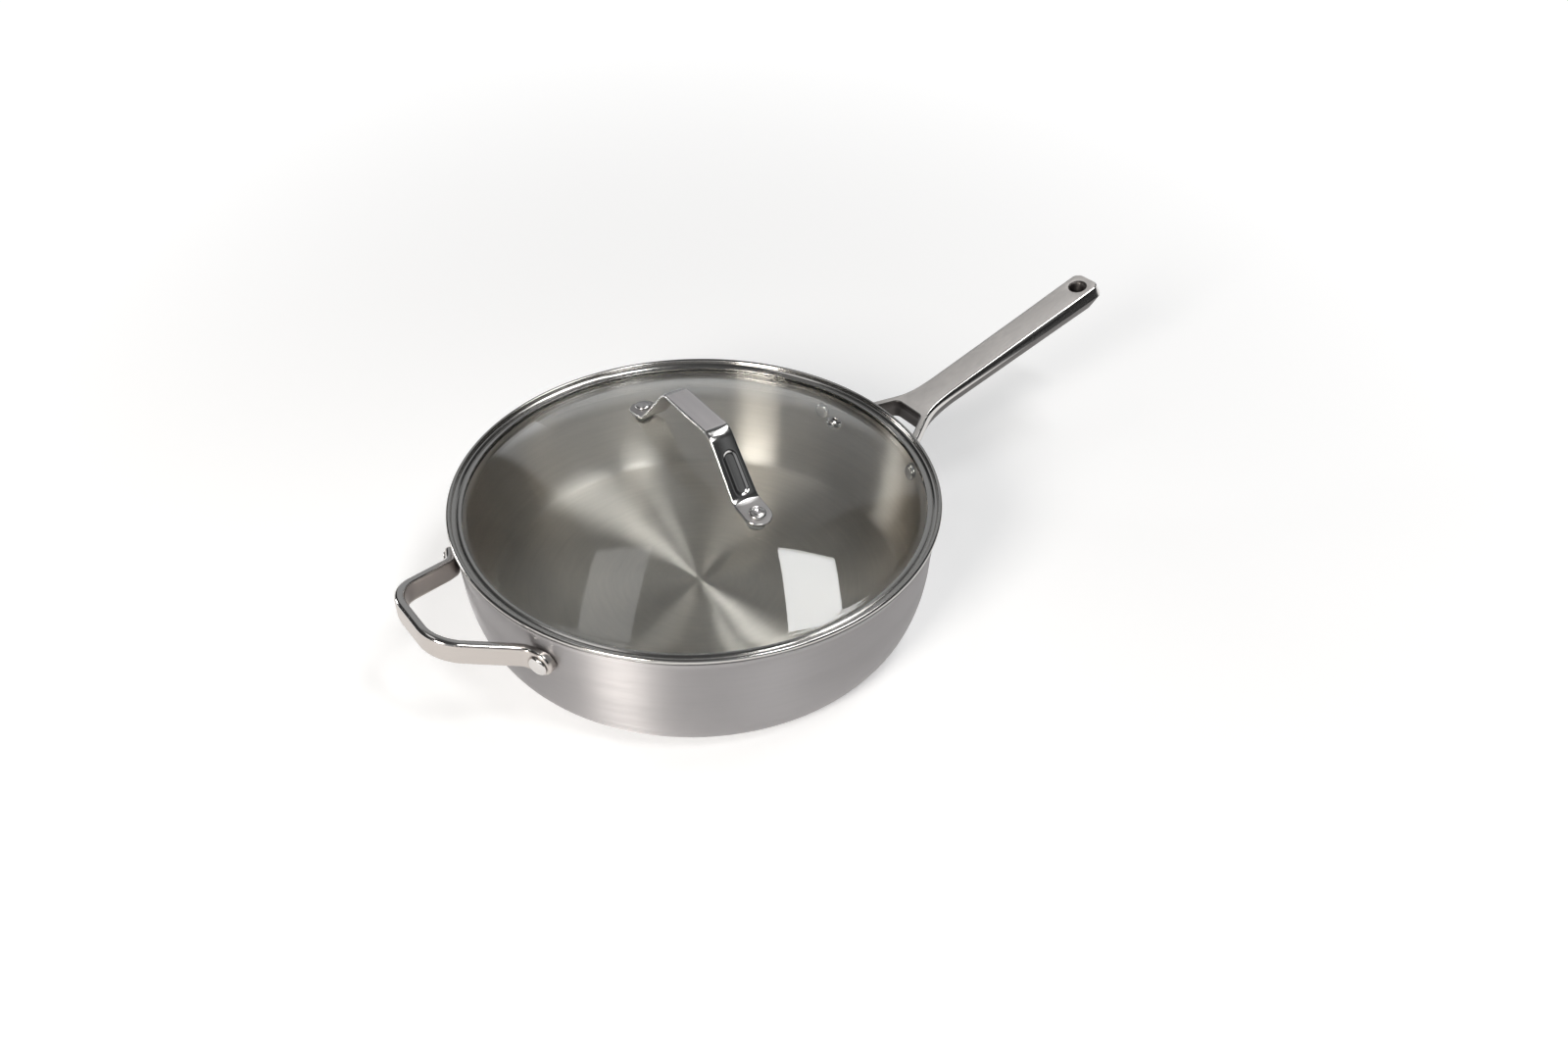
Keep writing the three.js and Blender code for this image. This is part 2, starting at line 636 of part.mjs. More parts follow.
function strapPath() {
  const far = strapHalf(FAR_FOOT, STRAP_TOP_LENGTH / 2 - STRAP_OFFSET);
  const near = strapHalf(NEAR_FOOT, STRAP_TOP_LENGTH / 2 + STRAP_OFFSET);
  const mirroredNear = near.map((point) => new THREE.Vector2(-point.x, point.y)).reverse();
  const radii = [0, STRAP_KNEE_BEND, STRAP_TOP_BEND, STRAP_TOP_BEND, STRAP_KNEE_BEND, 0];
  return roundedPath([...far, ...mirroredNear], radii);
}

function lidHandle() {
  const half = STRAP_WIDTH / 2;
  const strip = new THREE.ExtrudeGeometry(stripOutline(strapPath(), STRAP_THICKNESS), {
    depth: STRAP_WIDTH,
    bevelEnabled: false,
  });
  strip.translate(0, 0, -half).rotateX(Math.PI / 2).rotateZ(Math.PI / 2);
  const waist = STRAP_TOP_WIDTH / 2;
  const waistEnd = STRAP_TOP_LENGTH / 2;
  const ends = new THREE.Shape([
    ...arcPoints(0, FAR_FOOT, half, 0, Math.PI, 2 * BEND_STEPS),
    new THREE.Vector2(-waist, waistEnd - STRAP_OFFSET),
    new THREE.Vector2(-waist, -waistEnd - STRAP_OFFSET),
    ...arcPoints(0, -NEAR_FOOT, half, Math.PI, 2 * Math.PI, 2 * BEND_STEPS),
    new THREE.Vector2(waist, -waistEnd - STRAP_OFFSET),
    new THREE.Vector2(waist, waistEnd - STRAP_OFFSET),
  ]);
  const top = DOME_CENTRE + DOME_RADIUS + STRAP_HEIGHT;
  const plan = new THREE.ExtrudeGeometry(ends, { depth: top + CUT_PAST, bevelEnabled: false });
  let strap = solidOf(strip).intersect(solidOf(plan));
  const bore = LID_RIVET_SHANK_RADIUS + HOLE_CLEARANCE;
  for (const [, place] of STRAP_FEET) {
    const hole = cylinderAlongZ(bore, 0, STRAP_SEAT + STRAP_THICKNESS + CUT_PAST);
    strap = strap.subtract(solidOf(hole.applyMatrix4(place)));
  }
  return piece('lid_handle', geometryOf(strap), STEEL_SATIN);
}

function ring(inner, outer, low, high) {
  const profile = [[inner, low], [outer, low], [outer, high], [inner, high], [inner, low]];
  return turned(profile, SMALL_STEPS);
}

function strapFastening(side, place) {
  const bore = LID_RIVET_SHANK_RADIUS + HOLE_CLEARANCE;
  const head = STRAP_SEAT + STRAP_THICKNESS + GAP;
  const gasketTop = -(GLASS_THICKNESS + CURVED_SEAT_GAP);
  const washerTop = gasketTop - GASKET_THICKNESS - GAP;
  const inner = washerTop - WASHER_THICKNESS - GAP;
  const crown = head + LID_RIVET_HEAD_HEIGHT;
  const rivet = [
    [0, inner - LID_RIVET_HEAD_HEIGHT],
    [LID_RIVET_INNER_RADIUS - LID_RIVET_HEAD_HEIGHT / 2, inner - LID_RIVET_HEAD_HEIGHT],
    [LID_RIVET_INNER_RADIUS, inner - LID_RIVET_HEAD_HEIGHT / 2],
    [LID_RIVET_INNER_RADIUS, inner],
    [LID_RIVET_SHANK_RADIUS, inner],
    [LID_RIVET_SHANK_RADIUS, head],
    [LID_RIVET_HEAD_RADIUS, head],
    [LID_RIVET_HEAD_RADIUS, head + LID_RIVET_HEAD_HEIGHT / 2],
    [LID_RIVET_HEAD_RADIUS - LID_RIVET_HEAD_HEIGHT / 2, crown],
    [LID_RIVET_DIMPLE_RADIUS, crown],
    [0, crown - LID_RIVET_DIMPLE_DEPTH],
  ];
  const outerGasket = ring(bore, OUTER_GASKET_RADIUS, GAP, GAP + GASKET_THICKNESS);
  const innerGasket = ring(bore, INNER_GASKET_RADIUS, gasketTop - GASKET_THICKNESS, gasketTop);
  const washer = ring(bore, WASHER_RADIUS, washerTop - WASHER_THICKNESS, washerTop);
  return [
    piece(`lid_handle_rivet_${side}`, turned(rivet, SMALL_STEPS).applyMatrix4(place), STEEL_BRIGHT),
    piece(`lid_outer_gasket_${side}`, outerGasket.applyMatrix4(place), SILICONE),
    piece(`lid_inner_gasket_${side}`, innerGasket.applyMatrix4(place), SILICONE),
    piece(`lid_inner_washer_${side}`, washer.applyMatrix4(place), STEEL_BRIGHT),
  ];
}

// Steam vent

function steamVent() {
  const barrel = VENT_BORE_RADIUS + VENT_WALL;
  const washerTop = -(GLASS_THICKNESS + CURVED_SEAT_GAP);
  const flareTop = washerTop - VENT_FOOT_HEIGHT - GAP;
  const flareRadius = (barrel + VENT_FLANGE_RADIUS) / 2;
  const eyelet = [
    [VENT_BORE_RADIUS, flareTop - VENT_WALL],
    [flareRadius, flareTop - VENT_WALL],
    [flareRadius, flareTop],
    [barrel, flareTop],
    [barrel, GAP],
    [VENT_FLANGE_RADIUS, GAP],
    [barrel + VENT_WALL, GAP + VENT_FLANGE_HEIGHT],
    [VENT_BORE_RADIUS, GAP + VENT_FLANGE_HEIGHT],
    [VENT_BORE_RADIUS, flareTop - VENT_WALL],
  ];
  const washer = ring(barrel + HOLE_CLEARANCE, VENT_FLANGE_RADIUS, washerTop - VENT_FOOT_HEIGHT, washerTop);
  return [
    piece('vent_eyelet', turned(eyelet, SMALL_STEPS).applyMatrix4(VENT_PLACE), STEEL_BRIGHT),
    piece('vent_washer', washer.applyMatrix4(VENT_PLACE), STEEL_BRIGHT),
  ];
}

// Assembly

const envelope = wallEnvelope();
const pan = new THREE.Group();
pan.add(...panBody(), longHandle(envelope), helperHandle(envelope));
pan.add(...RIVETS.map((rivet) => handleRivet(...rivet)));

const lid = new THREE.Group();
lid.add(lidGlass(), lidBand(), lidHandle(), ...steamVent());
lid.add(...STRAP_FEET.flatMap(([side, place]) => strapFastening(side, place)));
lid.rotation.z = THREE.MathUtils.degToRad(LID_TURN);

const fryingPan = new THREE.Group();
fryingPan.add(pan, lid);

export default fryingPan;
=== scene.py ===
from math import acos, asin, atan, atan2, ceil, cos, degrees, pi, radians, sin, sqrt, tan

import bmesh
import bpy
from mathutils import Matrix, Quaternion, Vector
from mathutils.geometry import delaunay_2d_cdt


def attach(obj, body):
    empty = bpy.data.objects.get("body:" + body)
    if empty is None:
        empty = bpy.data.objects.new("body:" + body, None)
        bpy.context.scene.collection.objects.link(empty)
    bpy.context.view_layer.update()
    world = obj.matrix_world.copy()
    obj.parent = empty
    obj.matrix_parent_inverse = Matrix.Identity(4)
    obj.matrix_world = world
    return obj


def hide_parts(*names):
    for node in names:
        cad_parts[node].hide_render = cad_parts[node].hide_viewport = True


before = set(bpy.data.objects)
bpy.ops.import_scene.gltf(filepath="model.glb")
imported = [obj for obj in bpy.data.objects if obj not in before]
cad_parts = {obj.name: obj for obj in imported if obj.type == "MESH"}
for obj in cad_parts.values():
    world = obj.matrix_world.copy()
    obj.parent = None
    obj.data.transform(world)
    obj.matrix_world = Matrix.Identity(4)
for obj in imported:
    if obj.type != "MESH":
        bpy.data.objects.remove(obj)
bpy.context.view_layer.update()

# Sizes are in millimetres, in the frame of the solids
MM = 0.001
GAP = 0.3

# Pan body
BASE_FLAT_RADIUS = 123.3
CORNER_REACH = 16.5
CORNER_HEIGHT = 44.5
UPRIGHT_HEIGHT = 23.5
UPRIGHT_FLARE = 1.8
LIP_START = 67.2
LIP_FLARE = 1.8
PAN_HEIGHT = 72.0
OUTER_SKIN = (0.0, 0.6)
CORE = (0.7, 2.2)
COOKING_SKIN = (2.3, 2.8)
RIM_ROUND = 0.18

# Rivets of the two pan handles
RIVET_HEIGHT = 52.5
RIVET_HEAD_RADIUS = 6.0
RIVET_HEAD_HEIGHT = 2.2
RIVET_INNER_RADIUS = 5.0
RIVET_INNER_HEIGHT = 2.0
RIVET_SHANK = 2.5
RIVET_INNER_ROUND = 2.2
RIVET_HEAD_RIM = 0.4
INNER_SEAT_GAP = 0.45
LONG_RIVET_SPREAD = 88.4
HELPER_RIVET_SPREAD = 100.0

# Long handle
HANDLE_REACH = 189.6
HANDLE_WIDTH = 19.6
HANDLE_END_RADIUS = 5.0
HANDLE_ANGLE = 15.0
HANDLE_END_DEPTH = 16.5
HANDLE_END_FLARE = 4.2
FORK_REACH = 59.5
CROTCH_REACH = 28.0
CROTCH_WIDTH = 22.4
CROTCH_RADIUS = 5.0
FORK_GAP_AT_WALL = 57.6
LEG_THICKNESS = 4.2
LEG_HEIGHT = 12.5
LEG_RISE_START = 6.0
LEG_RISE_BLEND = 6.0
LEG_BEND = 9.0
LEG_FLARE = 14.0
FOOT_RUN = 8.0
LONG_FOOT_RADIUS = 8.0
FOOT_BEVEL = 0.6
FOOT_ROUND = 1.4
HOLE_RADIUS = 4.75
HOLE_BEVEL = 1.5
HOLE_FROM_END = 10.4
GRIP_BLEND = 20.0
SIDE_TURN = 0.35
# Sizes at the neck and at the end
SIDE_BAND = (4.3, 6.8)
SIDE_FLARE = (1.6, 3.0)
# Edges at the fork and on the grip, and what is left of the upper one at the end
UPPER_EDGE = (0.8, 1.0)
UNDER_EDGE = (1.0, 1.7)
END_EDGE_SHARE = 0.5

# Helper handle
HELPER_REACH = 42.0
HELPER_ROOT_WIDTH = 88.4
HELPER_END_WIDTH = 49.0
HELPER_ROOT_OFFSET = 6.7
HELPER_THICKNESS = 5.5
HELPER_HEIGHT = 14.0
HELPER_SLOPE = 0.3
HELPER_CORNER_RADIUS = 22.0
HELPER_ROOT_RADIUS = 15.0
HELPER_FOOT_RADIUS = 8.0
HELPER_EDGE = 2.0
HELPER_FOOT_END = 18.0
HELPER_FOOT_BLEND = 8.0

# Lid
LID_TURN = -2.6
SEAT_HEIGHT = PAN_HEIGHT + GAP
BAND_OUTER_RADIUS = 143.8
BAND_BEAD_RADIUS = 1.4
BAND_SHEET = 0.6
CHANNEL_RADIUS = 137.7
GLASS_RADIUS = 136.8
GLASS_THICKNESS = 4.0
GLASS_EDGE_TOP = 71.3
GLASS_BRIM = 3.9
GLASS_EDGE_ROUND = 1.0
UNDER_BRIM = 4
DRILL_LOW = -12
DRILL_HIGH = 8
DOME_RISE = 28.8
BAND_GRIP = 1.6

# Lid handle strap and its fastenings
STRAP_FOOT_SPREAD = 122.0
STRAP_OFFSET = 2.2
STRAP_WIDTH = 16.6
STRAP_TOP_WIDTH = 15.0
STRAP_THICKNESS = 2.4
STRAP_HEIGHT = 31.1
STRAP_TOP_LENGTH = 48.2
STRAP_KNEE = 11.5
STRAP_TOP_BEND = 10.5
STRAP_KNEE_BEND = 11.0
STRAP_EDGE = 0.8
STRAP_CROWN = 0.55
STRAP_WAIST_RUN = 30.0
CROWN_TILT = 0.12
FLUTE_DEPTH = 0.8
FLUTE_HALF_LENGTH = 8.8
FLUTE_HALF_WIDTH = 4.4
FLUTE_CENTRE = 0.6
FLUTE_SLOPE = 1.6
GASKET_THICKNESS = 1.0
OUTER_GASKET_RADIUS = 7.5
INNER_GASKET_RADIUS = 5.6
WASHER_RADIUS = 5.0
WASHER_THICKNESS = 0.6
LID_RIVET_SHANK = 2.2
LID_RIVET_RADIUS = 5.0
LID_RIVET_HEIGHT = 1.6
LID_RIVET_INNER_RADIUS = 3.8
HOLE_CLEARANCE = 0.3
VENT_FROM_DOME_EDGE = 32.6
VENT_BORE = 2.0
VENT_WALL = 0.8
VENT_FLANGE = 4.8
VENT_FLANGE_HEIGHT = 1.0
VENT_FOOT = 0.8

# Fineness of the meshes
ROUND_STEPS = 256
SMALL_STEPS = 48
SHARP_ANGLE = 38.0
HANDLE_STEP = 1.6
HELPER_STEP = 1.2
STRAP_STEP = 0.7

# A small number that keeps divisions safe
TINY = 1e-5

# Sizes that follow from the others
WALL_THICKNESS = COOKING_SKIN[1]
WALL_FOOT_RADIUS = BASE_FLAT_RADIUS + CORNER_REACH
DOME_EDGE_RADIUS = GLASS_RADIUS - GLASS_BRIM
DOME_RADIUS = (DOME_EDGE_RADIUS ** 2 + DOME_RISE ** 2) / (2 * DOME_RISE)
DOME_CENTRE = GLASS_EDGE_TOP + DOME_RISE - DOME_RADIUS
NEAR_FOOT = STRAP_FOOT_SPREAD / 2 + STRAP_OFFSET
FAR_FOOT = STRAP_FOOT_SPREAD / 2 - STRAP_OFFSET
STRAP_SEAT = GASKET_THICKNESS + 2 * GAP

# Camera as solved from the photograph
CAMERA_PLACE = (-332.89, -505.61, 534.14)
CAMERA_AIM = (25.22, -51.56, 70.0)
CAMERA_ROLL = 1.154
CAMERA_LENS = 29.71
CAMERA_SENSOR = 36.0


def aimed(name, data, place, aim, turn):
    """A camera or lamp that looks at a point, turned about its own axis by an angle in degrees."""
    thing = linked(name, data)
    thing.location = place
    thing.rotation_mode = "QUATERNION"
    look = (Vector(aim) - Vector(place)).to_track_quat("-Z", "Y")
    thing.rotation_quaternion = look @ Quaternion((0, 0, 1), radians(turn))
    return thing


def set_camera():
    data = bpy.data.cameras.new("camera")
    data.lens = CAMERA_LENS
    data.sensor_width = CAMERA_SENSOR
    data.clip_start = 0.01
    place, aim = Vector(CAMERA_PLACE) * MM, Vector(CAMERA_AIM) * MM
    bpy.context.scene.camera = aimed("camera", data, place, aim, CAMERA_ROLL)


# Small helpers for numbers and lines

def spread(low, high, steps):
    return [low + (high - low) * i / steps for i in range(steps + 1)]


def mix(a, b, share):
    return a + (b - a) * share


def smooth(share):
    share = min(max(share, 0.0), 1.0)
    return share * share * (3 - 2 * share)


def arc(centre, radii, start, end, steps):
    """Points of an ellipse arc, angles in degrees."""
    angles = [radians(a) for a in spread(start, end, steps)]
    return [(centre[0] + radii[0] * cos(a), centre[1] + radii[1] * sin(a)) for a in angles]


def rounded(corners, steps=8):
    """Straight runs between corners of (x, y, radius), with each corner rounded."""
    line = []
    for i, (x, y, radius) in enumerate(corners):
        here = Vector((x, y))
        if radius == 0 or i in (0, len(corners) - 1):
            line.append((x, y))
            continue
        back = (Vector(corners[i - 1][:2]) - here).normalized()
        ahead = (Vector(corners[i + 1][:2]) - here).normalized()
        half = back.angle(ahead) / 2
        start, end = (here + way * (radius / tan(half)) for way in (back, ahead))
        centre = here + (back + ahead).normalized() * (radius / sin(half))
        first = atan2(start.y - centre.y, start.x - centre.x)
        turn = atan2(end.y - centre.y, end.x - centre.x) - first
        turn = (turn + pi) % (2 * pi) - pi
        for a in spread(first, first + turn, steps):
            line.append((centre.x + radius * cos(a), centre.y + radius * sin(a)))
    return line


def evenly(line, step):
    """The same line with extra points, so that no run is longer than a step."""
    points = [Vector(line[0])]
    for a, b in zip(line, line[1:]):
        a, b = Vector(a), Vector(b)
        parts = max(1, ceil((b - a).length / step))
        points += [a.lerp(b, i / parts) for i in range(1, parts + 1)]
    return points


def lengths(points):
    total = [0.0]
    for a, b in zip(points, points[1:]):
        total.append(total[-1] + (b - a).length)
    return total


def directions(points):
    last = len(points) - 1
    return [(points[min(i + 1, last)] - points[max(i - 1, 0)]).normalized() for i in range(last + 1)]


# Node trees

def new_tree(name, sockets):
    tree = bpy.data.node_groups.new(name, "GeometryNodeTree")
    tree.interface.new_socket("Geometry", in_out="INPUT", socket_type="NodeSocketGeometry")
    for label, kind in [*sockets, ("Finish", "Material")]:
        tree.interface.new_socket(label, in_out="INPUT", socket_type="NodeSocket" + kind)
    tree.interface.new_socket("Geometry", in_out="OUTPUT", socket_type="NodeSocketGeometry")
    return tree, tree.nodes.new("NodeGroupInput").outputs


def fill(thing, links):
    """Sets a node's inputs to plain values, or joins them to other nodes."""
    for socket, source in links.items():
        if isinstance(source, bpy.types.NodeSocket):
            thing.id_data.links.new(source, thing.inputs[socket])
        else:
            thing.inputs[socket].default_value = source


def node(tree, kind, links=None, **settings):
    """Adds a node, sets it up and gives its outputs."""
    made_node = tree.nodes.new(kind)
    for key, value in settings.items():
        setattr(made_node, key, value)
    fill(made_node, links or {})
    return made_node.outputs


def after(kind, links, **settings):
    """Adds a node to the tree that its inputs come from."""
    source = next(value for value in links.values() if isinstance(value, bpy.types.NodeSocket))
    return node(source.id_data, kind, links, **settings)


def maths(operation, *values):
    return after("ShaderNodeMath", dict(enumerate(values)), operation=operation)[0]


def times(a, b):
    return maths("MULTIPLY", a, b)


def long_side(a, b):
    """Long side of a triangle with a right angle between its two other sides."""
    return maths("SQRT", maths("ADD", times(a, a), times(b, b)))


def ranged(value, start, stop, low=0.0, high=1.0, kind="SMOOTHSTEP"):
    """A value carried over from one range to another."""
    links = {"Value": value, "From Min": start, "From Max": stop, "To Min": low, "To Max": high}
    return after("ShaderNodeMapRange", links, interpolation_type=kind)[0]


def vectors(operation, *values, output=0):
    links = {}
    for i, value in enumerate(values):
        links["Scale" if operation == "SCALE" and i == 1 else i] = value
    return after("ShaderNodeVectorMath", links, operation=operation)[output]


def close_tree(tree, geometry, finish):
    """Realises the geometry, gives it its finish and sends it out."""
    whole = after("GeometryNodeRealizeInstances", {0: geometry})[0]
    shown = after("GeometryNodeSetMaterial", {"Geometry": whole, "Material": finish})[0]
    node(tree, "NodeGroupOutput", {0: shown})
    return tree


def grid_of(tree, columns, rows):
    """A grid of points with the column and row number of each."""
    grid = after("GeometryNodeMeshGrid", {"Vertices X": columns, "Vertices Y": rows})[0]
    index = node(tree, "GeometryNodeInputIndex")[0]
    row = maths("FLOORED_MODULO", index, rows)
    column = maths("FLOOR", maths("DIVIDE", index, rows))
    return grid, column, row


def sampled(geometry, value, index, kind="FLOAT_VECTOR"):
    links = {"Geometry": geometry, "Value": value, "Index": index}
    return after("GeometryNodeSampleIndex", links, data_type=kind, domain="POINT")[0]


def attribute(tree, name, kind="FLOAT_VECTOR"):
    return node(tree, "GeometryNodeInputNamedAttribute", {"Name": name}, data_type=kind)[0]


def shaped(grid, position):
    """Moves the grid's points into place and joins those that meet."""
    moved = after("GeometryNodeSetPosition", {"Geometry": grid, "Position": position})[0]
    joined = after("GeometryNodeMergeByDistance", {0: moved, "Distance": 1e-6})[0]
    return after("GeometryNodeSetShadeSmooth", {0: joined})[0]


def point_count(geometry):
    return after("GeometryNodeAttributeDomainSize", {"Geometry": geometry}, component="MESH")[0]


def turned_tree():
    """Turns a profile about the upright axis."""
    tree, given = new_tree("turned_shell", [("Steps", "Int")])
    line = given["Geometry"]
    rows = point_count(line)
    grid, column, row = grid_of(tree, maths("ADD", given["Steps"], 1.0), rows)
    point = sampled(line, node(tree, "GeometryNodeInputPosition")[0], row)
    parts = after("ShaderNodeSeparateXYZ", {0: point})
    angle = times(column, maths("DIVIDE", 2 * pi, given["Steps"]))
    x, y = (times(parts["X"], maths(way, angle)) for way in ("COSINE", "SINE"))
    place = after("ShaderNodeCombineXYZ", {"X": x, "Y": y, "Z": parts["Z"]})[0]
    return close_tree(tree, shaped(grid, place), given["Finish"])


BAR_SIZES = ("half_wide", "half_thick", "leg", "crown")


def bar_tree():
    """Carries a rounded section along a path, with an optional fluted hollow in its upper face."""
    tree, given = new_tree("bar_along_path", [
        ("Section", "Object"), ("Edge radius", "Float"), ("Flute depth", "Float"),
        ("Flute half length", "Float"), ("Flute half width", "Float"), ("Flute slope", "Float"),
    ])
    path = given["Geometry"]
    section = after("GeometryNodeObjectInfo", {"Object": given["Section"]})["Geometry"]
    corners = point_count(section)
    grid, column, row = grid_of(tree, point_count(path), maths("ADD", corners, 1.0))
    row = maths("FLOORED_MODULO", row, corners)
    position = node(tree, "GeometryNodeInputPosition")[0]
    centre = sampled(path, position, column)
    across, out = (sampled(path, attribute(tree, label), column) for label in ("across", "out"))
    wide, thick, leg, crown = (
        sampled(path, attribute(tree, label, "FLOAT"), column, "FLOAT")
        for label in BAR_SIZES)
    side, turn = (
        after("ShaderNodeSeparateXYZ", {0: sampled(section, value, row)})
        for value in (position, attribute(tree, "turn")))
    edge = maths("MINIMUM", given["Edge radius"], maths("MINIMUM", wide, thick))
    x, y = (
        maths("MULTIPLY_ADD", side[axis], maths("SUBTRACT", half, edge), times(turn[axis], edge))
        for axis, half in (("X", wide), ("Y", thick)))
    beyond = maths("SUBTRACT", maths("ABSOLUTE", leg), given["Flute half length"])
    away = long_side(maths("MAXIMUM", beyond, 0.0), x)
    inner = maths("SUBTRACT", given["Flute half width"], given["Flute slope"])
    hollow = ranged(away, inner, given["Flute half width"], given["Flute depth"], 0.0)
    upper = maths("GREATER_THAN", side["Y"], 0.0)
    share = maths("DIVIDE", x, maths("MAXIMUM", wide, TINY))
    fall = times(crown, times(share, share))
    y = maths("SUBTRACT", y, times(maths("ADD", hollow, fall), upper))
    aside = vectors("ADD", vectors("SCALE", across, x), vectors("SCALE", out, y))
    place = vectors("ADD", centre, aside)
    return close_tree(tree, shaped(grid, place), given["Finish"])


def placed_tree():
    """Sets one shape at each point, its own axis turned to face outwards."""
    tree, given = new_tree("set_at_places", [("Shape", "Object")])
    shape = after("GeometryNodeObjectInfo", {"Object": given["Shape"]})["Geometry"]
    facing = {"Vector": attribute(tree, "facing")}
    turn = after("FunctionNodeAlignRotationToVector", facing, axis="Z")[0]
    links = {"Points": given["Geometry"], "Instance": shape, "Rotation": turn}
    return close_tree(tree, after("GeometryNodeInstanceOnPoints", links)[0], given["Finish"])


# Turning trees into pieces

def points_mesh(name, points, **attributes):
    """A mesh of loose points in metres, with named values on each point."""
    mesh = bpy.data.meshes.new(name)
    mesh.from_pydata([tuple(p) for p in points], [], [])
    for label, values in attributes.items():
        vector = hasattr(values[0], "__len__")
        layer = mesh.attributes.new(label, "FLOAT_VECTOR" if vector else "FLOAT", "POINT")
        for item, value in zip(layer.data, values):
            setattr(item, "vector" if vector else "value", value)
    return mesh


def linked(name, data):
    thing = bpy.data.objects.new(name, data)
    bpy.context.scene.collection.objects.link(thing)
    return thing


def settle(thing):
    """Turns what the modifiers make into a plain mesh."""
    graph = bpy.context.evaluated_depsgraph_get()
    mesh = bpy.data.meshes.new_from_object(thing.evaluated_get(graph), depsgraph=graph)
    thing.modifiers.clear()
    thing.data = mesh
    mesh.name = thing.name


def finish_faces(thing):
    """Faces turned outwards, smooth, with sharp corners kept."""
    work = bmesh.new()
    work.from_mesh(thing.data)
    bmesh.ops.remove_doubles(work, verts=work.verts, dist=1e-7)
    bmesh.ops.dissolve_degenerate(work, edges=work.edges, dist=1e-8)
    bmesh.ops.recalc_face_normals(work, faces=work.faces)
    for face in work.faces:
        face.smooth = True
    work.to_mesh(thing.data)
    work.free()
    thing.data.set_sharp_from_angle(angle=radians(SHARP_ANGLE))
    return thing


def grown(name, start, tree, values):
    """Runs a tree on a starting mesh, and gives every face the finish."""
    thing = linked(name, start)
    maker = thing.modifiers.new("making", "NODES")
    maker.node_group = tree
    names = {item.name: item.identifier for item in tree.interface.items_tree if item.in_out == "INPUT"}
    for label, value in values.items():
        maker[names[label]] = value
    settle(thing)
    thing.data.materials.clear()
    thing.data.materials.append(values["Finish"])
    for face in thing.data.polygons:
        face.material_index = 0
    return finish_faces(thing)


def turned(name, profile, finish, steps=ROUND_STEPS):
    start = points_mesh(name, [(r * MM, 0, z * MM) for r, z in profile])
    return grown(name, start, TURNED, {"Steps": steps, "Finish": finish})


def combine(thing, tool, place, operation):
    """Joins a turned tool to a piece, or cuts it away, at a place of (point, direction it faces)."""
    spot, out = place
    tool.data.transform(Matrix.Translation(spot * MM) @ out.to_track_quat("Z", "Y").to_matrix().to_4x4())
    maker = thing.modifiers.new("combining", "BOOLEAN")
    maker.operation = operation
    maker.object = tool
    maker.solver = "EXACT"
    maker.material_mode = "TRANSFER"
    settle(thing)
    bpy.data.objects.remove(tool)


def set_at(name, shape, places, finish):
    """Copies of a small shape at places of (point in millimetres, direction it faces)."""
    start = points_mesh(name, [Vector(p) * MM for p, _ in places], facing=[tuple(d) for _, d in places])
    thing = grown(name, start, PLACED, {"Shape": shape, "Finish": finish})
    bpy.data.objects.remove(shape)
    return thing


def stand_for(thing, body, slot, *nodes):
    """Puts a finished piece in the part, turned with the lid where it belongs to it."""
    if body == "lid":
        thing.data.transform(Matrix.Rotation(radians(LID_TURN), 4, "Z"))
    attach(thing, body)
    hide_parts(*nodes)


# Finishes

# How coarse the clouds in the steel are, how much of its tone is grain, and the depth of the grain in metres
CLOUD_SCALE = 14.0
GRAIN_SHARE = 0.75
GRAIN_DEPTH = 0.00004


def new_finish(name):
    finish = bpy.data.materials.new(name)
    finish.use_nodes = True
    tree = finish.node_tree
    return finish, tree, tree.nodes["Principled BSDF"]


def object_place(tree):
    return node(tree, "ShaderNodeTexCoord")["Object"]


def noise(tree, scale):
    return after("ShaderNodeTexNoise", {"Vector": object_place(tree), "Scale": scale, "Detail": 2.0})[0]


def blended(share, dark, light):
    """A colour between a dark and a light one."""
    return after("ShaderNodeMix", {0: share, 6: (*dark, 1), 7: (*light, 1)}, data_type="RGBA")[2]


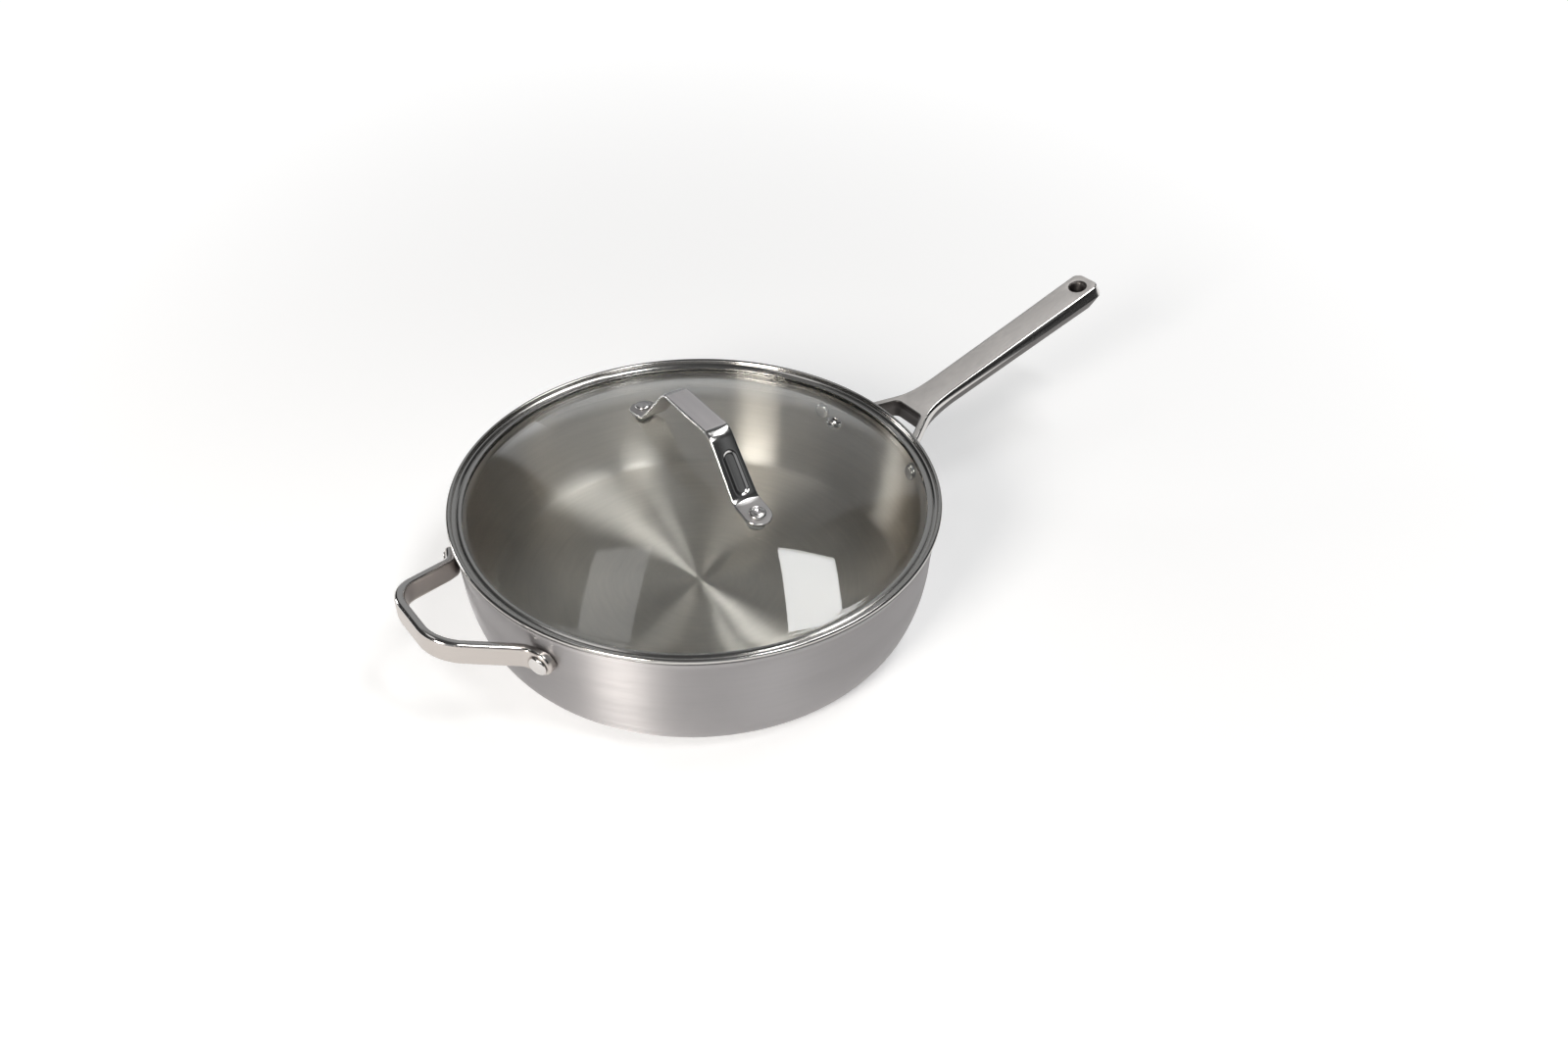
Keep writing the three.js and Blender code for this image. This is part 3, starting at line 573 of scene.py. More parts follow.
def steel(name, colour, roughness, brushing, strength, anisotropy=0.0, turned_grain=False, shade=0.06):
    """Steel with a brushed grain: round the axis, or stretched by the three scales of brushing."""
    finish, tree, shader = new_finish(name)
    place = object_place(tree)
    look = {"Scale": 1.0, "Detail": 3.0, "Roughness": 0.65}
    if turned_grain:
        parts = after("ShaderNodeSeparateXYZ", {0: place})
        radius = long_side(parts["X"], parts["Y"])
        ahead, beside = (maths("DIVIDE", parts[axis], maths("ADD", radius, TINY)) for axis in "XY")
        grain_place = after("ShaderNodeCombineXYZ", {
            axis: times(value, scale)
            for axis, value, scale in zip("XYZ", (radius, ahead, parts["Z"]), brushing)})[0]
        links = {"Vector": grain_place, "W": times(beside, brushing[1]), **look}
        grain = after("ShaderNodeTexNoise", links, noise_dimensions="4D")[0]
        tangent = node(tree, "ShaderNodeTangent", direction_type="RADIAL", axis="Z")[0]
        fill(shader, {"Tangent": tangent, "Anisotropic Rotation": 0.25})
    else:
        stretched = after("ShaderNodeMapping", {"Vector": place, "Scale": brushing})[0]
        grain = after("ShaderNodeTexNoise", {"Vector": stretched, **look})[0]
    cloud = noise(tree, CLOUD_SCALE)
    tone = maths("ADD", times(grain, GRAIN_SHARE), times(cloud, 1 - GRAIN_SHARE))
    dark = [c * (1 - shade) for c in colour]
    light = [min(1, c * (1 + shade)) for c in colour]
    fill(shader, {
        "Metallic": 1.0, "Anisotropic": anisotropy, "Base Color": blended(tone, dark, light),
        "Roughness": ranged(tone, 0.3, 0.7, roughness * 0.88, roughness * 1.12, "LINEAR"),
    })
    if strength:
        bump = after("ShaderNodeBump", {"Strength": strength, "Distance": GRAIN_DEPTH, "Height": grain})[0]
        fill(shader, {"Normal": bump})
    return finish


def clear_glass():
    finish, tree, shader = new_finish("clear_tempered_glass")
    fill(shader, {
        "Transmission Weight": 1.0, "IOR": 1.56, "Base Color": (0.985, 1.0, 0.99, 1),
        "Roughness": ranged(noise(tree, 9.0), 0.45, 0.75, 0.0, 0.012, "LINEAR"),
    })
    return finish


def soft_silicone():
    finish, tree, shader = new_finish("pale_silicone")
    fill(shader, {
        "Base Color": blended(noise(tree, 900.0), (0.50, 0.50, 0.49), (0.60, 0.60, 0.59)),
        "Roughness": 0.5, "Transmission Weight": 0.35,
    })
    return finish


# Pan body

def wall_line():
    """Outside of the pan from the axis out and up to the lip."""
    line = [(BASE_FLAT_RADIUS * share, 0.0) for share in spread(0, 1, 12)]
    line += arc((BASE_FLAT_RADIUS, CORNER_HEIGHT), (CORNER_REACH, CORNER_HEIGHT), -90, 0, 28)[1:]
    for z in spread(CORNER_HEIGHT, PAN_HEIGHT, 26)[1:]:
        upright = min((z - CORNER_HEIGHT) / UPRIGHT_HEIGHT, 1.0) * UPRIGHT_FLARE
        lip = LIP_FLARE * smooth((z - LIP_START) / (PAN_HEIGHT - LIP_START))
        line.append((WALL_FOOT_RADIUS + upright + lip, z))
    return line


def wall_at_depth(depth):
    """The same line moved into the wall, still ending level with the rim."""
    points = [Vector(p) for p in wall_line()]
    line = []
    for point, along in zip(points, directions(points)):
        line.append((max(point.x - along.y * depth, 0.0), point.y + along.x * depth))
    line[0] = (0.0, depth)
    line[-1] = (line[-1][0], PAN_HEIGHT)
    return line


OUTER_LINE = wall_at_depth(0.0)


def wall_radius(z):
    """Radius of the outside of the pan at a height."""
    for (r0, z0), (r1, z1) in zip(OUTER_LINE, OUTER_LINE[1:]):
        if z0 < z <= z1:
            return mix(r0, r1, (z - z0) / (z1 - z0))
    return OUTER_LINE[-1][0]


def skin_profile(layer):
    outer, inner = wall_at_depth(layer[0]), wall_at_depth(layer[1])
    rim = rounded([(*outer[-2], 0), (*outer[-1], RIM_ROUND), (*inner[-1], RIM_ROUND), (*inner[-2], 0)], 3)
    return outer[:-2] + rim + inner[:-2][::-1]


RIVET_WALL = wall_radius(RIVET_HEIGHT)
WALL_LEAN = atan(UPRIGHT_FLARE / UPRIGHT_HEIGHT)
LONG_RIVET_ANGLE = asin(LONG_RIVET_SPREAD / 2 / RIVET_WALL)
HELPER_RIVET_ANGLE = asin(HELPER_RIVET_SPREAD / 2 / RIVET_WALL)


def wall_spot(angle):
    """A point of the outer wall at rivet height, and the direction out of the wall."""
    ahead, beside, lean = cos(angle), sin(angle), cos(WALL_LEAN)
    out = Vector((ahead * lean, beside * lean, -sin(WALL_LEAN)))
    return Vector((RIVET_WALL * ahead, RIVET_WALL * beside, RIVET_HEIGHT)), out


def build_pan():
    for name, layer, finish, slot, solid in (
            ("pan_outer_skin", OUTER_SKIN, OUTSIDE_STEEL, "outside_steel", "pan_outer_layer"),
            ("pan_core", CORE, CORE_ALUMINIUM, "core_aluminium", "pan_aluminium_core"),
            ("pan_cooking_skin", COOKING_SKIN, INSIDE_STEEL, "inside_steel", "pan_cooking_layer")):
        stand_for(turned(name, skin_profile(layer), finish), "pan", slot, solid)


def rivet_shape(foot_thickness):
    """Rivet standing on its own axis, the wall's outside at zero."""
    seat = foot_thickness + 2 * GAP
    low = -(WALL_THICKNESS + INNER_SEAT_GAP)
    head = RIVET_HEAD_RADIUS
    profile = [(0.0, low - RIVET_INNER_HEIGHT)]
    profile += arc((RIVET_INNER_RADIUS - RIVET_INNER_ROUND, low), (RIVET_INNER_ROUND, RIVET_INNER_HEIGHT), -90, 0, 8)
    profile += [(RIVET_SHANK, low), (RIVET_SHANK, seat), (head, seat)]
    profile += arc((0.0, seat + RIVET_HEAD_RIM), (head, RIVET_HEAD_HEIGHT - RIVET_HEAD_RIM), 0, 90, 14)
    return turned("rivet", profile, POLISHED_STEEL, SMALL_STEPS)


def build_rivets():
    for name, middle, angle, thickness in (
            ("long_handle_rivet", 0.0, LONG_RIVET_ANGLE, LEG_THICKNESS),
            ("helper_handle_rivet", pi, -HELPER_RIVET_ANGLE, HELPER_THICKNESS)):
        places = [wall_spot(middle + side * angle) for side in (1, -1)]
        rivets = set_at(name + "s", rivet_shape(thickness), places, POLISHED_STEEL)
        stand_for(rivets, "pan", "bright_steel", name + "_left", name + "_right")


# Long handle

def handle_outline():
    """Half of the handle seen from above, from the middle of its end round to the crotch."""
    wall = RIVET_WALL
    end, half = wall + HANDLE_REACH, HANDLE_WIDTH / 2
    neck = wall + FORK_REACH
    crotch = Vector((wall + CROTCH_REACH, CROTCH_WIDTH / 2))
    gap_angle = asin(FORK_GAP_AT_WALL / 2 / wall)
    gap_end = Vector((wall * cos(gap_angle), wall * sin(gap_angle)))
    along = (gap_end - crotch).normalized()
    outwards = Vector((along.y, -along.x)) * LEG_THICKNESS
    leg_start = crotch + outwards + along * LEG_BEND
    foot_outer = wall + GAP + LEG_THICKNESS
    foot_start = LONG_RIVET_ANGLE - FOOT_RUN / foot_outer
    foot = Vector((foot_outer * cos(foot_start), foot_outer * sin(foot_start)))
    foot_along = Vector((-sin(foot_start), cos(foot_start)))
    leg_end = leg_start + along * ((leg_start - foot).length / 2)

    def curve(a, b, c, d, steps):
        points = []
        for t in spread(0, 1, steps):
            s = 1 - t
            points.append(a * s ** 3 + b * 3 * s * s * t + c * 3 * s * t * t + d * t ** 3)
        return points

    corner = end - HANDLE_END_RADIUS
    line = [(end, 0.0)]
    line += arc((corner, half - HANDLE_END_RADIUS), (HANDLE_END_RADIUS,) * 2, 0, 90, 8)
    line += curve(Vector((neck, half)), Vector((neck - LEG_FLARE - LEG_BEND, half)),
                  leg_start - along * LEG_FLARE, leg_start, 24)
    line += curve(leg_end, leg_end + along * LEG_THICKNESS, foot - foot_along * LEG_THICKNESS, foot, 10)
    last = LONG_RIVET_ANGLE + LONG_FOOT_RADIUS / foot_outer
    line += arc((0, 0), (foot_outer,) * 2, degrees(foot_start), degrees(last), 12)[1:]
    line += arc((0, 0), (wall + GAP,) * 2, degrees(last), degrees(gap_angle), 16)
    line += rounded([(*gap_end, 0), (*crotch, CROTCH_RADIUS), (crotch.x, 0, 0)])[1:]
    return evenly(line, HANDLE_STEP)


def handle_top(x):
    start = RIVET_WALL + LEG_RISE_START
    rise = tan(radians(HANDLE_ANGLE))
    past = x - start
    bend = LEG_RISE_BLEND
    climb = rise * max(0.0, past) if abs(past) > bend else rise * (past + bend) ** 2 / (4 * bend)
    return RIVET_HEIGHT + LEG_HEIGHT / 2 + climb


def handle_levels(x, facing=0.0):
    """Inset and depth of each line round the handle, from the top face to the bottom.

    Sides flare out under the top edge, except where they face back towards the pan.
    """
    wall = RIVET_WALL
    neck, end = wall + FORK_REACH, wall + HANDLE_REACH
    share = min(max((x - neck) / (end - neck), 0.0), 1.0)
    depth = mix(LEG_HEIGHT, HANDLE_END_DEPTH, share)
    open_side = smooth((facing + SIDE_TURN) / SIDE_TURN)
    flare = mix(*SIDE_FLARE, share) * open_side
    flare += (HANDLE_END_FLARE - SIDE_FLARE[1]) * smooth(facing) * share
    band = mix(*SIDE_BAND, share)
    grip = smooth((x - neck) / GRIP_BLEND + 1)
    edge = mix(*UPPER_EDGE, open_side * grip)
    edge *= mix(1.0, END_EDGE_SHARE, smooth((share - 0.55) / 0.25))
    under = mix(*UNDER_EDGE, grip)
    return [
        (edge, 0.0),
        (edge * 0.55, edge * 0.09),
        (edge * 0.2, edge * 0.25),
        (-flare * 0.08, edge * 0.55),
        (-flare * 0.58, mix(edge * 0.55, band, 0.5)),
        (-flare * 0.96, band - 0.25),
        (-flare, band),
        (-flare + 0.25, band + 0.6),
        (mix(under - 0.5, -flare, 0.5), mix(band, depth, 0.5)),
        (under - 0.5, depth - 0.5),
        (under, depth),
    ]


# First line of the handle's lower side, and the order of the handle's finishes; the third is steel painted dark as
# shade and dark reflection, for the lower side, underside, hole and fork's inner faces
LOWER_SIDE = 6
SATIN, POLISHED, PAINTED_SHADE = range(3)
# Faces the pan at least this much; such faces inside the fork get the painted shade
TOWARDS_PAN = -0.25


def build_long_handle():
    half = handle_outline()
    loop = half + [Vector((p.x, -p.y)) for p in half[-2:0:-1]]
    count = len(loop)
    normals = []
    for i in range(count):
        along = (loop[(i + 1) % count] - loop[i - 1]).normalized()
        normals.append(Vector((along.y, -along.x)))
    wall = RIVET_WALL
    hole_x = wall + HANDLE_REACH - HOLE_FROM_END
    hole_depth = mix(LEG_HEIGHT, HANDLE_END_DEPTH, 1 - HOLE_FROM_END / (HANDLE_REACH - FORK_REACH))
    hole_levels = [
        (HOLE_RADIUS + HOLE_BEVEL, 0.0), (HOLE_RADIUS + HOLE_BEVEL * 0.45, 0.35), (HOLE_RADIUS, 1.6),
        (HOLE_RADIUS, hole_depth - 1.2), (HOLE_RADIUS + 0.9, hole_depth),
    ]
    circle = arc((0, 0), (1, 1), 0, 360, SMALL_STEPS)[:-1]

    mesh = bmesh.new()

    def outline_at(level):
        made_ring = []
        for point, out in zip(loop, normals):
            inset, depth = handle_levels(point.x, out.x)[level]
            spot = point - out * inset
            z = handle_top(point.x) - depth
            room = wall_radius(z) + GAP
            if spot.length < room:
                spot = spot.normalized() * room
            made_ring.append(mesh.verts.new((spot.x * MM, spot.y * MM, z * MM)))
        return made_ring

    def hole_at(radius, depth):
        spots = [(hole_x + radius * c, radius * s) for c, s in circle]
        return [mesh.verts.new((x * MM, y * MM, (handle_top(x) - depth) * MM)) for x, y in spots]

    outlines = [outline_at(level) for level in range(len(handle_levels(0.0)))]
    holes = [hole_at(*level) for level in hole_levels]
    fork = wall + CROTCH_REACH + LEG_THICKNESS
    for level, (upper, lower) in enumerate(zip(outlines, outlines[1:])):
        for i in range(count):
            j = (i + 1) % count
            inside_fork = normals[i].x < TOWARDS_PAN and loop[i].x < fork
            # The lower side, and the fork's faces towards the pan, get steel painted dark as shade
            in_painted_shade = level >= LOWER_SIDE or (inside_fork and level > 1)
            mesh.faces.new((upper[i], upper[j], lower[j], lower[i])).material_index = PAINTED_SHADE if in_painted_shade else POLISHED
    for upper, lower in zip(holes, holes[1:]):
        for i in range(SMALL_STEPS):
            j = (i + 1) % SMALL_STEPS
            mesh.faces.new((upper[i], upper[j], lower[j], lower[i])).material_index = PAINTED_SHADE

    def cap(outline, hole, radius, slot):
        rim = outline + hole
        flat = [Vector((v.co.x / MM, v.co.y / MM)) for v in rim]
        outer = list(range(count))
        inner = list(range(count, count + len(hole)))
        edges = [(a, b) for ids in (outer, inner) for a, b in zip(ids, ids[1:] + ids[:1])]
        places, _, faces, sources, _, _ = delaunay_2d_cdt(flat, edges, [outer], 1, 1e-5)
        for face in faces:
            corners = [rim[sources[i][0]] for i in face]
            middle = sum((places[i] for i in face), Vector((0, 0))) / 3
            if (middle - Vector((hole_x, 0))).length > radius * 0.997:
                mesh.faces.new(corners).material_index = slot

    cap(outlines[0], holes[0], hole_levels[0][0], SATIN)
    cap(outlines[-1], holes[-1], hole_levels[-1][0], PAINTED_SHADE)
    data = bpy.data.meshes.new("long_handle_bar")
    mesh.to_mesh(data)
    mesh.free()
    for finish in (SATIN_HANDLE, POLISHED_STEEL, PAINTED_SHADE_STEEL):
        data.materials.append(finish)
    thing = finish_faces(linked("long_handle_bar", data))
    add_feet(thing)
    stand_for(thing, "pan", "handle_steel", "long_handle")


def add_feet(thing):
    """Joins round foot plates to the long handle at its rivets."""
    radius, top = LONG_FOOT_RADIUS, GAP + LEG_THICKNESS
    profile = [(0.0, GAP), (radius - FOOT_BEVEL, GAP), (radius, GAP + FOOT_BEVEL)]
    profile += arc((radius - FOOT_ROUND, top - FOOT_ROUND), (FOOT_ROUND,) * 2, 0, 90, 6) + [(0.0, top)]
    for side in (1, -1):
        plate = turned("plate", profile, POLISHED_STEEL, SMALL_STEPS)
        combine(thing, plate, wall_spot(side * LONG_RIVET_ANGLE), "UNION")
    finish_faces(thing)


# Helper handle

def section_points(across):
    """Rounded rectangle by side signs and edge turns: upper face, edge, lower face, edge."""
    sides, turns = [], []
    for up in (1, -1):
        for share in spread(1, -1, across)[1:-1]:
            sides.append((share * up, up, 0))
            turns.append((0, up, 0))
        for end, angles in ((up, spread(90, 0, 4)), (-up, spread(0, 90, 4))):
            for a in map(radians, angles):
                sides.append((-up, end, 0))
                turns.append((-up * cos(a), end * sin(a), 0))
    return sides, turns


def bar(name, path, finish, edge, flute=0.0, across=6):
    """A bar along a path of (point, across, out, half width, half thickness, place on a leg, crown)."""
    points, wide_way, out_way, *sizes = zip(*path)
    sizes = {label: [size * MM for size in values] for label, values in zip(BAR_SIZES, sizes)}
    start = points_mesh(name, [p * MM for p in points], across=wide_way, out=out_way, **sizes)
    sides, turns = section_points(across)
    section = linked("section", points_mesh("section", sides, turn=turns))
    thing = grown(name, start, BAR, {
        "Section": section, "Edge radius": edge * MM, "Flute depth": flute * MM,
        "Flute half length": FLUTE_HALF_LENGTH * MM, "Flute half width": FLUTE_HALF_WIDTH * MM,
        "Flute slope": FLUTE_SLOPE * MM, "Finish": finish,
    })
    bpy.data.objects.remove(section)
    return thing


def round_end(distance, radius):
    """Half width of a rounded end at a distance from its tip."""
    if distance >= radius:
        return radius
    return sqrt(max(radius * radius - (radius - distance) ** 2, 0.0))


# Place on a leg that is out of reach of any flute
FAR_FROM_LEGS = 1000.0


def build_helper_handle():
    middle = RIVET_WALL + GAP + HELPER_THICKNESS / 2
    rivet = Vector((-middle * cos(HELPER_RIVET_ANGLE), middle * sin(HELPER_RIVET_ANGLE)))
    root = Vector((HELPER_ROOT_OFFSET - middle, HELPER_ROOT_WIDTH / 2))
    end_x = -(RIVET_WALL + HELPER_REACH - HELPER_THICKNESS / 2)
    tip = rivet + (rivet - root).normalized() * HELPER_FOOT_RADIUS
    half = [
        (*tip, 0), (*root, HELPER_ROOT_RADIUS), (end_x, HELPER_END_WIDTH / 2, HELPER_CORNER_RADIUS),
    ]
    corners = half + [(x, -y, radius) for x, y, radius in half[::-1]]
    line = evenly(rounded(corners, 14), HELPER_STEP)
    ways, run = directions(line), lengths(line)
    path = []
    for point, along, done in zip(line, ways, run):
        from_tip = min(done, run[-1] - done)
        foot = smooth((HELPER_FOOT_END - from_tip) / HELPER_FOOT_BLEND)
        out = Vector((along.y, -along.x, 0))
        if out.dot(Vector((point.x, point.y, 0))) < 0:
            out = -out
        upright = (Vector((0, 0, 1)) + out * tan(WALL_LEAN) * foot).normalized()
        height = HELPER_SLOPE * (rivet.x - point.x) * (1 - foot)
        spot = Vector((point.x, point.y, RIVET_HEIGHT + max(height, 0.0)))
        wide = mix(HELPER_HEIGHT / 2, HELPER_FOOT_RADIUS, foot)
        wide = min(wide, round_end(from_tip, HELPER_FOOT_RADIUS))
        path.append((spot, upright, out, wide, HELPER_THICKNESS / 2, FAR_FROM_LEGS, 0.0))
    thing = bar("helper_handle_bar", path, SATIN_HELPER, HELPER_EDGE)
    thing.data.materials.append(POLISHED_STEEL)
    for face in thing.data.polygons:
        face.material_index = 1 if abs(face.normal.z) > 0.55 else 0
    stand_for(thing, "pan", "handle_steel", "helper_handle")


# Lid

def dome_line(radius, level):
    last = degrees(acos((level - DOME_CENTRE) / radius))
    return [(radius * sin(radians(a)), DOME_CENTRE + radius * cos(radians(a)))
            for a in spread(0, last, 48)]


def dome_spot(distance, heading):
    """A point on the dome and the direction out of the glass there."""
    tilt = asin(distance / DOME_RADIUS)
    out = Vector((sin(tilt) * cos(heading), sin(tilt) * sin(heading), cos(tilt)))
    return Vector((0, 0, DOME_CENTRE)) + out * DOME_RADIUS, out


STRAP_FEET = [dome_spot(NEAR_FOOT, -pi / 2), dome_spot(FAR_FOOT, pi / 2)]
VENT_SPOT = dome_spot(DOME_EDGE_RADIUS - VENT_FROM_DOME_EDGE, 0.0)


def drill(thing, radius, place):
    """Cuts a round hole through the glass."""
    profile = [(0, DRILL_LOW), (radius, DRILL_LOW), (radius, DRILL_HIGH), (0, DRILL_HIGH)]
    combine(thing, turned("bit", profile, CLEAR_GLASS, SMALL_STEPS), place, "DIFFERENCE")


def build_glass():
    under = GLASS_EDGE_TOP - GLASS_THICKNESS
    brim = rounded([
        (DOME_EDGE_RADIUS, GLASS_EDGE_TOP, 0), (GLASS_RADIUS, GLASS_EDGE_TOP, GLASS_EDGE_ROUND),
        (GLASS_RADIUS, under, GLASS_EDGE_ROUND), (DOME_EDGE_RADIUS - UNDER_BRIM, under, 0),
    ], 5)
    profile = dome_line(DOME_RADIUS, GLASS_EDGE_TOP)[:-1] + brim[:-1]
    profile += dome_line(DOME_RADIUS - GLASS_THICKNESS, under)[::-1]
    glass = turned("lid_glass_dome", profile, CLEAR_GLASS)
    for place in STRAP_FEET:
        drill(glass, LID_RIVET_SHANK + HOLE_CLEARANCE, place)
    drill(glass, VENT_BORE + VENT_WALL + HOLE_CLEARANCE, VENT_SPOT)
    finish_faces(glass)
    stand_for(glass, "lid", "glass", "lid_glass")


def build_band():
    over = GLASS_EDGE_TOP + GAP
    under = GLASS_EDGE_TOP - GLASS_THICKNESS - GAP
    lip = GLASS_RADIUS - BAND_GRIP
    wall = CHANNEL_RADIUS - BAND_SHEET
    bead = BAND_OUTER_RADIUS - BAND_BEAD_RADIUS
    bead_height = SEAT_HEIGHT + BAND_BEAD_RADIUS
    top = over + BAND_SHEET
    inner = [
        (lip, over, 0.0), (lip, top + 0.1, 0.3), (lip + 1.3, top + 0.45, 1.2), (lip + 2.8, top + 0.1, 0.4),
        (lip + 3.15, top - 0.2, 0.15), (lip + 3.6, top + 0.3, 0.4), (lip + 4.6, top + 1.05, 0.8),
        (lip + 5.5, top + 1.0, 0.3), (lip + 5.75, top + 0.8, 0.08),
    ]
    roll = arc((bead, bead_height), (BAND_BEAD_RADIUS,) * 2, 200, -90, 22)
    shoulder = [
        (bead - BAND_BEAD_RADIUS, SEAT_HEIGHT + BAND_SHEET - 0.3, 0.0),
        (CHANNEL_RADIUS, SEAT_HEIGHT - 1.6, 0.6), (CHANNEL_RADIUS, under - BAND_SHEET, 0.5),
        (lip, under - BAND_SHEET, 0.2), (lip, under, 0.2), (wall, under, 0.3), (wall, over, 0.3), (lip, over, 0.0),
    ]
    first = rounded(inner + [(*roll[0], 0.0)], 5)
    profile = first[:-1] + roll + rounded([(*roll[-1], 0.0)] + shoulder, 5)[1:]
    band = turned("lid_band_ring", profile, BAND_STEEL)
    stand_for(band, "lid", "bright_steel", "lid_band")


def strap_half(foot_distance, top_distance):
    """Foot tip, knee and top corner on one side of the lid's axis, and the middle of the leg."""
    tilt = asin(foot_distance / DOME_RADIUS)
    lift = DOME_RADIUS + STRAP_SEAT + STRAP_THICKNESS / 2
    along = Vector((cos(tilt), -sin(tilt)))
    foot = Vector((lift * sin(tilt), DOME_CENTRE + lift * cos(tilt)))
    top = DOME_CENTRE + DOME_RADIUS + STRAP_HEIGHT - STRAP_THICKNESS / 2
    tip = foot + along * STRAP_WIDTH / 2
    knee = foot - along * STRAP_KNEE
    corner = Vector((top_distance, top))
    return [(*tip, 0), (*knee, STRAP_KNEE_BEND), (*corner, STRAP_TOP_BEND)], corner.lerp(knee, FLUTE_CENTRE)


# Extra places in the first step of the strap's path, so that its end is round
TIP_SHARES = (0.05, 0.15, 0.35, 0.65)
# How level a face of the strap's top or foot is, at least
LEVEL_TOP = 0.985
LEVEL_FOOT = 0.9


def build_strap():
    far, far_leg = strap_half(FAR_FOOT, STRAP_TOP_LENGTH / 2 - STRAP_OFFSET)
    near, near_leg = strap_half(NEAR_FOOT, STRAP_TOP_LENGTH / 2 + STRAP_OFFSET)
    near_leg = Vector((-near_leg.x, near_leg.y))
    corners = far + [(-x, z, radius) for x, z, radius in near[::-1]]
    line = evenly(rounded(corners, 12), STRAP_STEP)
    line[1:1] = [line[0].lerp(line[1], share) for share in TIP_SHARES]
    line[-1:-1] = [line[-1].lerp(line[-2], share) for share in TIP_SHARES[::-1]]
    ways, run = directions(line), lengths(line)
    leg_places = [min(range(len(line)), key=lambda i: (line[i] - leg).length) for leg in (far_leg, near_leg)]
    path = []
    for point, along, done in zip(line, ways, run):
        out = Vector((0, along.y, -along.x))
        if out.z < 0:
            out = -out
        spot = Vector((0, point.x, point.y))
        from_tip = min(done, run[-1] - done)
        from_middle = abs(point.x + STRAP_OFFSET)
        waist = smooth((from_middle - STRAP_TOP_LENGTH / 2) / STRAP_WAIST_RUN)
        wide = min(mix(STRAP_TOP_WIDTH, STRAP_WIDTH, waist) / 2, round_end(from_tip, STRAP_WIDTH / 2))
        leg = min((done - run[i] for i in leg_places), key=abs)
        crown = STRAP_CROWN * smooth((1 - out.z) / CROWN_TILT)
        path.append((spot, Vector((1, 0, 0)), out, wide, STRAP_THICKNESS / 2, leg, crown))
    thing = bar("lid_handle_strap", path, POLISHED_STRAP, STRAP_EDGE, FLUTE_DEPTH, across=18)
    thing.data.materials.append(SATIN_STRAP)
    thing.data.materials.append(SATIN_FOOT_PAINTED_SHADE)
    reach = STRAP_TOP_LENGTH / 2 * MM
    for face in thing.data.polygons:
        from_middle = abs(face.center.y + STRAP_OFFSET * MM)
        on_top = from_middle < reach and face.normal.z > LEVEL_TOP
        # The foot's upper faces get a darker copy of the strap steel: a real satin finish with painted shade in its
        # colour
        on_foot = from_middle > reach * 2 and face.normal.z > LEVEL_FOOT
        face.material_index = 1 if on_top else 2 if on_foot else 0
    stand_for(thing, "lid", "handle_steel", "lid_handle")


def ring(inner, outer, low, high, edge):
    """Profile of a flat ring with rounded corners."""
    return rounded([
        (inner, low, 0.0), (outer, low, edge), (outer, high, edge), (inner, high, edge), (inner, low, 0.0),
    ], 4)


def fasten(name, profile, places, finish, slot, *nodes):
    """Copies of a small turned piece on the lid."""
    shape = turned("shape", profile, finish, SMALL_STEPS)
    stand_for(set_at(name, shape, places, finish), "lid", slot, *nodes)


def build_fastenings():
    bore = LID_RIVET_SHANK + HOLE_CLEARANCE
    head = STRAP_SEAT + STRAP_THICKNESS + GAP
    gasket_top = -(GLASS_THICKNESS + INNER_SEAT_GAP)
    washer_top = gasket_top - GASKET_THICKNESS - GAP
    inner = washer_top - WASHER_THICKNESS - GAP
    crown = head + LID_RIVET_HEIGHT
    low = inner - LID_RIVET_HEIGHT
    rivet = rounded([
        (0.0, low, 0.0), (LID_RIVET_INNER_RADIUS, low, 0.8), (LID_RIVET_INNER_RADIUS, inner, 0.2),
        (LID_RIVET_SHANK, inner, 0.0), (LID_RIVET_SHANK, head, 0.0), (LID_RIVET_RADIUS, head, 0.15),
        (LID_RIVET_RADIUS, head + 0.7, 0.6), (LID_RIVET_RADIUS - 1.1, crown - 0.1, 0.5),
        (LID_RIVET_RADIUS - 1.7, crown - 0.45, 0.4), (2.1, crown - 0.1, 0.5), (1.4, crown - 0.25, 0.4),
        (0.0, crown - 0.95, 0.0),
    ], 6)
    outer_gasket = ring(bore, OUTER_GASKET_RADIUS, GAP, GAP + GASKET_THICKNESS, 0.2)
    inner_gasket = ring(bore, INNER_GASKET_RADIUS, gasket_top - GASKET_THICKNESS, gasket_top, 0.2)
    washer = ring(bore, WASHER_RADIUS, washer_top - WASHER_THICKNESS, washer_top, 0.1)
    for name, profile, finish, slot in (
            ("lid_handle_rivet", rivet, SATIN_RIVET, "bright_steel"),
            ("lid_outer_gasket", outer_gasket, SILICONE, "soft_washer"),
            ("lid_inner_gasket", inner_gasket, SILICONE, "soft_washer"),
            ("lid_inner_washer", washer, POLISHED_STEEL, "bright_steel")):
        fasten(name + "s", profile, STRAP_FEET, finish, slot, name + "_near", name + "_far")


